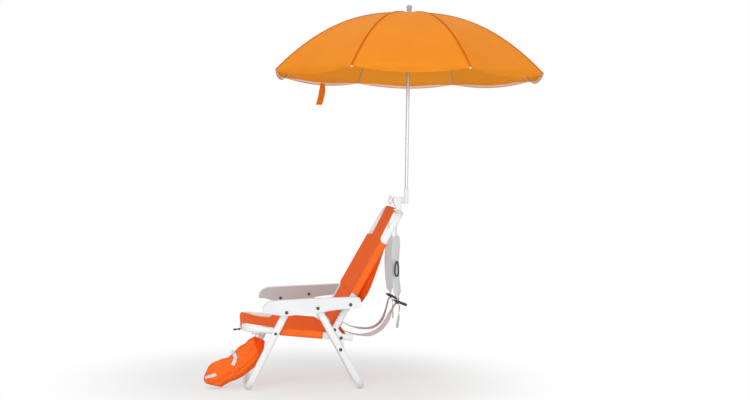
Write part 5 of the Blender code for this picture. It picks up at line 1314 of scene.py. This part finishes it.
def strap_form(bm, frames, halves, sections):
    """Closed strap: each place has its half width and a loop of (across, up) around it."""
    loop = len(sections[0])
    made = bmesh.ops.create_grid(bm, x_segments=loop, y_segments=len(frames) - 1, size=0.5)
    flats, travelled, ends = {}, [0.0], ([], [])
    for one, two in zip(frames, frames[1:]):
        travelled.append(travelled[-1] + (two[0] - one[0]).length)
    for corner in made["verts"]:
        row = round((corner.co.y + 0.5) * (len(frames) - 1))
        column = round((corner.co.x + 0.5) * loop)
        across, up = sections[row][column % loop]
        round_it = 2.2 * halves[row] * (2 * column / loop - 1)
        flats[corner] = (round_it, travelled[row])
        middle, wide, deep = frames[row]
        corner.co = middle + wide * (across * halves[row]) + deep * up
        if row in (0, len(frames) - 1):
            ends[0 if row == 0 else 1].append(corner)
    weave_map(bm, flats)
    bmesh.ops.remove_doubles(bm, verts=made["verts"], dist=0.00002)
    bmesh.ops.holes_fill(bm, edges=[edge for edge in bm.edges if edge.is_boundary])
    bmesh.ops.recalc_face_normals(bm, faces=bm.faces)


def pad_path():
    route = [(PAD_TOP[0] + PAD_LENGTH * x, 0.0, PAD_TOP[1] - PAD_LENGTH * z) for x, z in PAD_ROUTE]
    return spline(route, 12)


def share_along(path):
    travelled = [0.0]
    for one, two in zip(path, path[1:]):
        travelled.append(travelled[-1] + (two - one).length)
    return [value / travelled[-1] for value in travelled], travelled[-1]


def pad_half(share):
    """Half width of a pad: a round top and a neck at its foot."""
    top = min(1.0, max(0.0, share) / 0.07)
    foot = eased((share - 0.90) / 0.10)
    return PAD_WIDE / 2 * (0.25 + 0.75 * (1 - (1 - top) ** 2) ** 0.5) * (1 - 0.42 * foot)


def swell(piece, held, reach):
    """Cloth simulation of a sewn pad that fills out between its seams, by no more than reach."""
    group = piece.vertex_groups.new(name="seams")
    group.add(held, 1.0, "REPLACE")
    filling = piece.modifiers.new("filling", "CLOTH")
    filling.settings.quality, filling.settings.mass = 6, 0.15
    filling.settings.tension_stiffness = filling.settings.compression_stiffness = 12
    filling.settings.bending_stiffness = 0.35
    filling.settings.use_pressure, filling.settings.uniform_pressure_force = True, 4.0
    filling.settings.effector_weights.gravity = 0
    filling.settings.vertex_group_mass = "seams"
    before = [corner.co.copy() for corner in piece.data.vertices]
    for step in range(1, 21):
        bpy.context.scene.frame_set(step)
    shaped = piece.evaluated_get(bpy.context.evaluated_depsgraph_get()).data
    moves = [new.co - old for new, old in zip(shaped.vertices, before)]
    piece.modifiers.remove(filling)
    piece.vertex_groups.remove(group)
    for corner, old, move in zip(piece.data.vertices, before, moves):
        corner.co = old + move * min(1.0, reach / max(move.length, 1e-9))
    bpy.context.scene.frame_set(1)
    return max(move.length for move in moves)


def pad_loop(half):
    """Section of a pad: a thin sewn rim and a low pillow inside it."""
    rim, loop = 1 - 0.0040 / half, []
    for step in range(15):
        across = -1 + 2 * step / 14
        inside = max(0.0, 1 - (abs(across) / rim) ** 2.6) if abs(across) < rim else 0.0
        loop.append((across, PAD_THICK / 2 * max(0.13, inside ** 0.55)))
    return loop + [(across, -up) for across, up in reversed(loop)]


def shoulder_pad(name, side):
    path = pad_path()
    shares, length = share_along(path)
    keep = [index for index, share in enumerate(shares) if share >= PAD_STARTS]
    path = [Vector((path[index].x, side * STRAP_PLACE, path[index].z)) for index in keep]
    turns = [between_stops(shares[index], PAD_TWIST) for index in keep]
    along = [(shares[index] - PAD_STARTS) / (1 - PAD_STARTS) for index in keep]
    halves = [pad_half(share) for share in along]
    frames = strap_frames(path, turns)
    bm = bmesh.new()
    sections = []
    for share, half in zip(along, halves):
        close = min(1.0, share / 0.05 + 0.15, (1 - share) / 0.06 + 0.2)
        sections.append([(across, up * close) for across, up in pad_loop(half)])
    strap_form(bm, frames, halves, sections)
    piece = finish_piece("shoulder_pad_" + name, bm, pad_cloth, "back", ["strap_pad_" + name], angle=80)
    held = []
    for corner in piece.data.vertices:
        middle, wide, deep = min(frames, key=lambda frame: (frame[0] - corner.co).length)
        row = frames.index((middle, wide, deep))
        across = abs((corner.co - middle).dot(wide)) / halves[row]
        if across > 1 - 0.0042 / halves[row] or row < 2 or row > len(frames) - 3:
            held.append(corner.index)
    moved = swell(piece, held, 0.0022)
    piece.modifiers.new("smooth cloth", "SUBSURF").levels = 1
    piece.modifiers["smooth cloth"].render_levels = 1
    bm = bmesh.new()
    for edge in (-1, 1):
        spots_along = [middle + wide * (edge * (half - 0.0036)) for (middle, wide, deep), half in
                       list(zip(frames, halves))[3:-3]]
        for (middle, wide, deep), spot in list(zip(frames[3:-3], spots_along))[::2]:
            for face in (-1, 1):
                bmesh.ops.create_uvsphere(bm, u_segments=8, v_segments=6, radius=0.0007,
                                          matrix=Matrix.Translation(spot + deep * (face * 0.0007)))
    weave_map(bm, {corner: (corner.co.x, corner.co.z) for corner in bm.verts})
    finish_piece("pad_stitches_" + name, bm, strap_thread, "back")
    return length, moved


for name, side in (("left", -1), ("right", 1)):
    length, moved = shoulder_pad(name, side)
    print("pad", name, round(length, 3), "swelled", round(moved * 1000, 1), "mm")

# %% [markdown]
# From the lower bar a flat webbing comes up to each pad. It is one ribbon about 1.4 mm thick, with a
# raised selvedge on both edges. It bends easily one way and hardly the other, so its curve turns
# over flat and twists slowly. Its free tail hangs below the buckle.

# %% Strap webbing
WEB_ROUTE = {"left": [(-1.0, 1.0, -0.434), (-0.887, 0.970, -0.475), (-0.724, 0.848, -0.516),
                      (-0.499, 0.606, -0.516), (-0.315, 0.424, -0.429), (-0.192, 0.273, -0.285),
                      (-0.115, 0.152, -0.132), (-0.0435, 0.045, -0.0140), (0.0, 0.0, 0.0055),
                      (0.0435, 0.0, -0.0297), (0.038, 0.0, -0.183), (0.008, 0.0, -0.439)],
             "right": [(-1.0, 1.0, -0.434), (-0.877, 0.970, -0.500), (-0.662, 0.848, -0.592),
                       (-0.407, 0.606, -0.613), (-0.233, 0.424, -0.551), (-0.120, 0.273, -0.413),
                       (-0.064, 0.152, -0.234), (-0.028, 0.045, -0.060), (0.0, 0.0, 0.0),
                       (0.0486, 0.0, -0.0297), (0.0588, 0.0, -0.173), (0.069, 0.0, -0.388)]}
WEB_TWIST = {"left": [(0.0, 0), (0.16, 4), (0.30, 24), (0.52, 30), (0.66, 6), (0.80, 0), (0.92, 32),
                      (1.0, 32)],
             "right": [(0.0, 0), (0.16, 0), (0.30, 9), (0.52, 12), (0.66, 4), (0.80, 0), (0.92, 20),
                       (1.0, 20)]}
WEB_SECTION = [(-1, -0.55), (-0.93, -1), (-0.80, -0.75), (0.80, -0.75), (0.93, -1), (1, -0.55), (1, 0.55),
               (0.93, 1), (0.80, 0.75), (-0.80, 0.75), (-0.93, 1), (-1, 0.55)]


def web_ribbon(name, path, turns, body, nodes, width=WEB_WIDE, thick=WEB_THICK, material=None):
    frames = strap_frames(path, turns)
    bm = bmesh.new()
    loop = [(across, up * thick / 2) for across, up in WEB_SECTION]
    strap_form(bm, frames, [width / 2] * len(frames), [loop] * len(frames))
    piece = finish_piece(name, bm, material or strap_web, body, nodes, angle=50)
    return piece, share_along(path)[1]


web_lengths = {}
for name, side in (("left", -1), ("right", 1)):
    spread = HALF_WIDTH - 0.025 - STRAP_PLACE
    path = spline([(WEB_END[0] + WEB_LENGTH * x, side * (STRAP_PLACE + spread * y),
                    WEB_END[1] + WEB_LENGTH * z)
                   for x, y, z in WEB_ROUTE[name]], 8)
    twists = [between_stops(share, WEB_TWIST[name]) for share in share_along(path)[0]]
    web_lengths[name] = web_ribbon("strap_ribbon_" + name, path, twists, "back", ["strap_webbing_" + name])[1]
    path = [Vector((point.x, side * STRAP_PLACE, point.z)) for point in pad_path()]
    shares = share_along(path)[0]
    upper = [index for index, share in enumerate(shares) if share <= PAD_STARTS + 0.03]
    web_ribbon("pad_tape_" + name, [path[index] for index in upper],
               [between_stops(shares[index], PAD_TWIST) for index in upper], "back", [], 0.0220, 0.0012,
               white_tape)
print("webbing", {name: round(value, 3) for name, value in web_lengths.items()}, "m")

# %% [markdown]
# The ladder buckles are moulded frames with three bars, and the webbing is threaded over and under
# them; each is built of rounded bars. The adjuster on the left pad is an open ring, narrower at its top.
# It starts as an outline that is inset, cleared in the middle, pushed to its thickness and rounded.

# %% Buckles and adjuster ring
BUCKLE_SIZE, BUCKLE_AT, BUCKLE_TILT = (0.0440, 0.0340, 0.0078), (0.5330, 0.2900), radians(20)


def rounded_bar(bm, size, place, rounding):
    made = bmesh.ops.create_cube(bm, size=1.0, matrix=place @ Matrix.Diagonal((*size, 1)))
    soften(bm, list({edge for corner in made["verts"] for edge in corner.link_edges}), rounding, 3)


def ladder_buckle(name, side):
    long, wide, deep = BUCKLE_SIZE
    place = (Matrix.Translation((BUCKLE_AT[0], side * STRAP_PLACE, BUCKLE_AT[1]))
             @ Matrix.Rotation(BUCKLE_TILT, 4, "Y"))
    bm = bmesh.new()
    for edge in (-1, 1):
        rounded_bar(bm, (long, 0.0040, deep),
                    place @ Matrix.Translation((0, edge * (wide / 2 - 0.0020), 0)), 0.0012)
    for share, thick, lift in ((-0.46, 0.0040, 0.0), (-0.14, 0.0050, 0.0006), (0.16, 0.0044, 0.0),
                               (0.45, 0.0056, 0.0008)):
        rounded_bar(bm, (thick, wide - 0.004, deep - 0.001),
                    place @ Matrix.Translation((share * long, 0, lift)), 0.0013)
    rounded_bar(bm, (0.0090, 0.0240, 0.0092), place @ Matrix.Translation((long * 0.46, 0, 0)), 0.0030)
    finish_piece("ladder_buckle_" + name, bm, black_plastic, "back", ["strap_buckle_" + name])
    lift = place @ Matrix.Rotation(radians(4), 4, "Y")
    over = [lift @ Vector((-0.0270, 0, -0.0030)), lift @ Vector((-0.0225, 0, 0.0030)),
            lift @ Vector((-0.0100, 0, 0.0055)), lift @ Vector((0.0000, 0, 0.0044)),
            lift @ Vector((0.0060, 0, -0.0012))]
    path = spline(over, 5)
    web_ribbon("buckle_web_" + name, path, [0.0] * len(path), "back", [])


def adjuster_ring():
    low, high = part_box("strap_adjuster")
    middle, thick = [(one + two) / 2 for one, two in zip(low, high)], high[1] - low[1]
    wide, tall = (high[0] - low[0]) / 2, (high[2] - low[2]) / 2
    bm = bmesh.new()
    outline = []
    for step in range(40):
        turn = 2 * pi * step / 40
        draw_in = 0.70 + 0.30 * eased(0.72 - 0.72 * sin(turn))
        x = copysign(abs(cos(turn)) ** 0.75, cos(turn)) * wide * draw_in
        z = copysign(abs(sin(turn)) ** 0.62, sin(turn)) * tall
        outline.append(bm.verts.new((middle[0] + x, low[1], middle[2] + z)))
    bmesh.ops.contextual_create(bm, geom=outline)
    bmesh.ops.inset_region(bm, faces=bm.faces[:], thickness=0.0058, use_even_offset=True, use_boundary=True)
    heart = [face for face in bm.faces if len(face.verts) > 4]
    bmesh.ops.delete(bm, geom=heart, context="FACES_ONLY")
    made = bmesh.ops.extrude_face_region(bm, geom=bm.faces[:], use_keep_orig=True)
    bmesh.ops.translate(bm, verts=new_verts(made), vec=(0, thick, 0))
    bmesh.ops.recalc_face_normals(bm, faces=bm.faces)
    soften(bm, [edge for edge in bm.edges if edge.is_manifold and edge.calc_face_angle() > radians(50)],
           0.0010, 3)
    finish_piece("adjuster_ring", bm, black_plastic, "back", ["strap_adjuster"])
    print("adjuster ring", round(2 * wide * 1000), "by", round(2 * tall * 1000), "mm")


for name, side in (("left", -1), ("right", 1)):
    ladder_buckle(name, side)
adjuster_ring()

# %% [markdown]
# The chair packs into a bag that hangs by a cord from the front rail and lies slack on the floor. Closed
# loops are laid along its bent middle line, from the open mouth to the nose, and joined like a sleeve.
# The cloth simulation then lets the cloth grow a little, and spare cloth has to buckle into folds.

# %% Carry bag
BAG_NOSE, BAG_FLOOR, BAG_LONG, BAG_HIGH, BAG_HALF = -0.1600, 0.0005, 0.2160, 0.1855, 0.0305
BAG_MIDDLE = 0.046 - HALF_WIDTH


def bag_place(x, z):
    return BAG_NOSE + BAG_LONG * x, BAG_FLOOR + BAG_HIGH * z


def bag_spine():
    """Middle places of the bag from its mouth to its nose, each with half its height there."""
    return [(0.905, 0.915, 0.105), (0.86, 0.82, 0.165), (0.80, 0.70, 0.205), (0.72, 0.60, 0.235),
            (0.62, 0.50, 0.235), (0.52, 0.41, 0.235), (0.43, 0.355, 0.245), (0.33, 0.306, 0.252),
            (0.235, 0.258, 0.238), (0.165, 0.212, 0.180), (0.110, 0.168, 0.118), (0.070, 0.132, 0.050)]


def tucked_mouth(place):
    """Presses the open side of the mouth in, so the inside cloth, painted deep red as shade, lies in a hollow
    behind a rim.
    """
    x, z = (place.x - BAG_NOSE) / BAG_LONG, (place.z - BAG_FLOOR) / BAG_HIGH
    hollow = eased((x + 0.25 * z - 1.035) / 0.05) * eased((z - 0.66) / 0.05)
    if place.y < BAG_MIDDLE:
        place.y += 0.009 * hollow
    return place


def bag_rings(steps):
    """Closed loops of places round the bag, from its mouth to its nose."""
    spine = spline(bag_spine(), 6)
    rings = []
    for index, (x, z, high) in enumerate(spine):
        one, two = spine[max(index - 1, 0)], spine[min(index + 1, len(spine) - 1)]
        ahead = Vector((BAG_LONG * (two[0] - one[0]), BAG_HIGH * (two[1] - one[1]))).normalized()
        up = Vector((-ahead.y, ahead.x)) * (1 if ahead.x < 0 else -1) * -1
        share = index / (len(spine) - 1)
        deep = BAG_HALF * min(1.0, 0.42 + share * 2.2) * (1 - max(0.0, share - 0.86) / 0.14 * 0.66)
        centre = bag_place(x, z)
        ring = []
        for step in range(steps):
            turn = 2 * pi * step / steps
            lift = copysign(abs(sin(turn)) ** 0.85, sin(turn)) * high * BAG_HIGH
            sideways = deep * copysign(abs(cos(turn)) ** 0.8, cos(turn))
            place = Vector((centre[0] + up.x * lift, BAG_MIDDLE + sideways, centre[1] + up.y * lift))
            fold = noise.noise(Vector((share * 5.5, 2.6 * cos(turn), 2.6 * sin(turn) + 4.4)))
            crease = abs(noise.noise(Vector((share * 11 + 7, 3.4 * cos(turn) + 3, 3.4 * sin(turn))))) ** 0.6
            line = 1 - abs(noise.noise(Vector((share * 3.4 + 1.7, 2.1 * cos(turn) + 5,
                                               2.1 * sin(turn) + 2))))
            inward = Vector((centre[0], BAG_MIDDLE, centre[1])) - place
            free = min(1.0, share * 8, (1 - share) * 8)
            place += inward.normalized() * (0.0006 + 0.0042 * fold
                                            + (0.0045 * crease + 0.0052 * line ** 9) * free)
            place.z = max(place.z, BAG_FLOOR + 0.0012)
            ring.append(place)
        rings.append([tucked_mouth(place) for place in ring])
    return rings


def bag_body():
    steps, rings = 56, bag_rings(56)
    bm = bmesh.new()
    made = bmesh.ops.create_grid(bm, x_segments=steps, y_segments=len(rings) - 1, size=0.5)
    flats, travelled, mouth = {}, [0.0], []
    for one, two in zip(rings, rings[1:]):
        travelled.append(travelled[-1] + (two[0] - one[0]).length)
    for corner in made["verts"]:
        row, column = round((corner.co.y + 0.5) * (len(rings) - 1)), round((corner.co.x + 0.5) * steps)
        flats[corner] = (column / steps * 0.20, travelled[row])
        corner.co = rings[row][column % steps]
    weave_map(bm, flats)
    bmesh.ops.remove_doubles(bm, verts=made["verts"], dist=0.00005)
    top = [corner for corner in bm.verts if (corner.co - sum(rings[0], Vector()) / steps).length < 0.03
           and any(edge.is_boundary for edge in corner.link_edges)]
    rim = {edge for corner in top for edge in corner.link_edges if edge.is_boundary}
    tuck = Vector((sum(point.x for point in rings[5]) / steps, BAG_MIDDLE,
                   sum(point.z for point in rings[5]) / steps))
    for pull, shrink in ((0.10, 0.92), (0.45, 0.72), (0.80, 0.45)):
        grown = bmesh.ops.extrude_edge_only(bm, edges=list(rim))
        ring = new_verts(grown)
        centre = sum((corner.co for corner in ring), Vector()) / len(ring)
        for corner in ring:
            corner.co = corner.co.lerp(centre.lerp(tuck, pull), 1 - shrink)
            mouth.append(corner)
        rim = set(ring_of(grown))
    bmesh.ops.holes_fill(bm, edges=[edge for edge in bm.edges if edge.is_boundary])
    bm.verts.index_update()
    inner = {corner.index for corner in mouth}
    bmesh.ops.recalc_face_normals(bm, faces=bm.faces)
    piece = finish_piece("bag_cloth", bm, seat_cloth, "bag", ["carry_bag"], angle=180)
    piece.data.materials.append(pouch_red_and_mouth_shade)
    # The inside of the mouth takes the deep red as painted shade inside the bag.
    for face in piece.data.polygons:
        x, z = (face.center.x - BAG_NOSE) / BAG_LONG, (face.center.z - BAG_FLOOR) / BAG_HIGH
        if all(corner in inner for corner in face.vertices) or (x + 0.25 * z > 1.045 and z > 0.66):
            face.material_index = 1
    return piece


def crumple(piece, held, growth, reach):
    """Cloth simulation of slack cloth: it grows a little and buckles where it isn't held."""
    group = piece.vertex_groups.new(name="held")
    group.add(held, 1.0, "REPLACE")
    slack = piece.modifiers.new("slack", "CLOTH")
    slack.settings.quality, slack.settings.mass = 7, 0.12
    slack.settings.tension_stiffness = slack.settings.compression_stiffness = 14
    slack.settings.bending_stiffness = 0.12
    slack.settings.shrink_min = -growth
    slack.settings.use_pressure, slack.settings.uniform_pressure_force = True, 0.6
    slack.settings.effector_weights.gravity = 0
    slack.settings.vertex_group_mass = "held"
    before = [corner.co.copy() for corner in piece.data.vertices]
    for step in range(1, 21):
        bpy.context.scene.frame_set(step)
    shaped = piece.evaluated_get(bpy.context.evaluated_depsgraph_get()).data
    moves = [new.co - old for new, old in zip(shaped.vertices, before)]
    piece.modifiers.remove(slack)
    piece.vertex_groups.remove(group)
    low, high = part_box("carry_bag")
    for corner, old, move in zip(piece.data.vertices, before, moves):
        place = old + move * min(1.0, reach / max(move.length, 1e-9))
        corner.co = Vector([min(max(value, least), most) for value, least, most in zip(place, low, high)])
    bpy.context.scene.frame_set(1)
    return max(move.length for move in moves)


bag_piece = bag_body()
held = [corner.index for corner in bag_piece.data.vertices if corner.co.z < 0.006 or corner.co.z > 0.172]
print("bag cloth moved", round(crumple(bag_piece, held, 0.07, 0.005) * 1000, 1), "mm")
smoothed = bag_piece.modifiers.new("smooth cloth", "SUBSURF")
smoothed.levels = smoothed.render_levels = 1

# %% [markdown]
# A short cord ties the bag to the rail. Two webbing tabs are sewn on its near face; each is laid on
# the finished folds by asking the cloth for its surface at every step, so that it follows them.

# %% Bag cord and tabs
def cord_pipe(name, route, radius, body, nodes, material):
    """Round cord with the lay of its strands, pushed along a smooth route."""
    path = spline(route, 8)
    bm = bmesh.new()
    wire(bm, path, radius, 12)
    weave_map(bm, {corner: (corner.co.y, corner.co.z) for corner in bm.verts})
    return finish_piece(name, bm, material, body, nodes), share_along(path)[1]


low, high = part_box("bag_cord")
mouth_x, mouth_z = bag_place(0.870, 1.0)
rail_x, rail_z = rail_place(0.0290, -(TUBE_WIDE / 2 + 0.0003))
piece, length = cord_pipe("bag_cord_braid", [(rail_x, -0.1765, rail_z - 0.0010),
                                             (rail_x + 0.0022, -0.163, rail_z - 0.0075),
                                             (mouth_x + 0.003, -0.146, mouth_z + 0.0035),
                                             (mouth_x - 0.004, BAG_MIDDLE, mouth_z - 0.0010),
                                             (mouth_x - 0.008, BAG_MIDDLE + 0.004, mouth_z - 0.0080)],
                          0.0016, "bag", ["bag_cord"], strap_web)
print("bag cord", round(length * 1000), "mm")


def bag_tab(name, shares, width, nodes):
    """Webbing laid on the bag's near face along places given in the side view."""
    bpy.context.view_layer.update()
    reach, places = bag_piece.evaluated_get(bpy.context.evaluated_depsgraph_get()), []
    for x, z in spline(shares, 6):
        place_x, place_z = bag_place(x, z)
        struck, spot, normal, _ = reach.ray_cast(Vector((place_x, BAG_MIDDLE - 0.06, place_z)),
                                                 Vector((0, 1, 0)))
        places.append((spot if struck else Vector((place_x, BAG_MIDDLE - 0.012, place_z)),
                       normal if struck else Vector((0, -1, 0))))
    frames = []
    for index, (spot, normal) in enumerate(places):
        ahead = (places[min(index + 1, len(places) - 1)][0] - places[max(index - 1, 0)][0]).normalized()
        steady = sum((places[near][1] for near in range(max(index - 2, 0), min(index + 3, len(places)))),
                     Vector())
        wide = ahead.cross(steady.normalized()).normalized()
        frames.append((spot + steady.normalized() * 0.0012, wide, ahead.cross(wide) * -1))
    bm = bmesh.new()
    loop = [(across, up * WEB_THICK / 2) for across, up in WEB_SECTION]
    strap_form(bm, frames, [width / 2] * len(frames), [loop] * len(frames))
    finish_piece(name, bm, strap_web, "bag", nodes, angle=50)


bag_tab("bag_tab_handle", [(0.468, 0.703), (0.495, 0.666), (0.528, 0.596), (0.509, 0.515),
                           (0.481, 0.456)], 0.0130,
        ["bag_webbing"])
bag_tab("bag_tab_nose", [(0.225, 0.285), (0.170, 0.262), (0.110, 0.235), (0.055, 0.205)], 0.0110, [])

# %% [markdown]
# At the left end of the seat's front hem hangs a toggle on a thin cord. Pushed through a loop on the
# back, it keeps the folded chair shut. It is a moulded bar with round ends and a waist for the cord.

# %% Front toggle
low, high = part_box("front_tie")
toggle_x, toggle_y, toggle_z = low[0] + 0.013, (low[1] + high[1]) / 2, low[2] + 0.0035
bm = bmesh.new()
toggle_centre = Matrix.Translation((toggle_x, toggle_y, toggle_z + 0.0006))
turn_profile(bm, [(0, 0.0130), (0.0016, 0.0128), (0.0028, 0.0120), (0.0034, 0.0104), (0.0034, 0.0044),
                  (0.0026, 0.0030), (0.0024, 0.0), (0.0026, -0.0030), (0.0034, -0.0044), (0.0034, -0.0104),
                  (0.0028, -0.0120), (0.0016, -0.0128), (0, -0.0130)],
             toggle_centre @ Matrix.Rotation(radians(85), 4, "Y"), 24)
finish_piece("toggle_bar", bm, black_plastic, "seat", ["front_tie"])
cord_x = -0.0306
piece, length = cord_pipe("toggle_cord", [(cord_x, toggle_y, toggle_z),
                                          (cord_x - 0.0004, toggle_y, toggle_z + 0.010),
                                          (cord_x, toggle_y, high[2] - 0.0002)], 0.0012, "seat", [],
                                          strap_web)
print("toggle cord", round(length * 1000), "mm")

# %% [markdown]
# A closing strap of canopy cloth hangs from one hem, doubled and stitched along both edges. It twists a
# little as it falls, and it travels with the rib beside it when the umbrella closes.

# %% Canopy tie
TIE_RIB, TIE_WIDE, TIE_LONG, TIE_DRIFT = 3, 0.0240, 0.0800, 0.0180
first, second = rib_angle(TIE_RIB), rib_angle(TIE_RIB + 1)
rim_one, rim_two = (umbrella_place(RIM_RADIUS, turn, RIM_HEIGHT) for turn in (first, second))
outward = Vector((cos((first + second) / 2), sin((first + second) / 2), 0))
beside = Vector((-outward.y, outward.x, 0))
start = rim_one.lerp(rim_two, 0.5) - outward * (CANOPY_CLOTH / 2 + 0.0003 + 0.0009)
start -= Vector((0, 0, flap_depth(0.5) - 0.0060))
frames = []
for step in range(25):
    fall = step / 24
    spot = start + beside * (TIE_DRIFT * fall * fall) - Vector((0, 0, TIE_LONG * fall))
    turn = radians(38) * eased(fall / 0.5)
    frames.append((spot, beside * cos(turn) + outward * sin(turn), outward * cos(turn) - beside * sin(turn)))
bm = bmesh.new()
loop = [(across, up * 0.0016 / 2) for across, up in WEB_SECTION]
strap_form(bm, frames, [TIE_WIDE / 2] * len(frames), [loop] * len(frames))
tie_piece = finish_piece("canopy_tie_strap", bm, canopy_cloth, f"rib_{TIE_RIB}", ["canopy_tie"], angle=50)
turn = rib_angle(TIE_RIB)
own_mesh(tie_piece)
print("canopy tie", TIE_LONG)
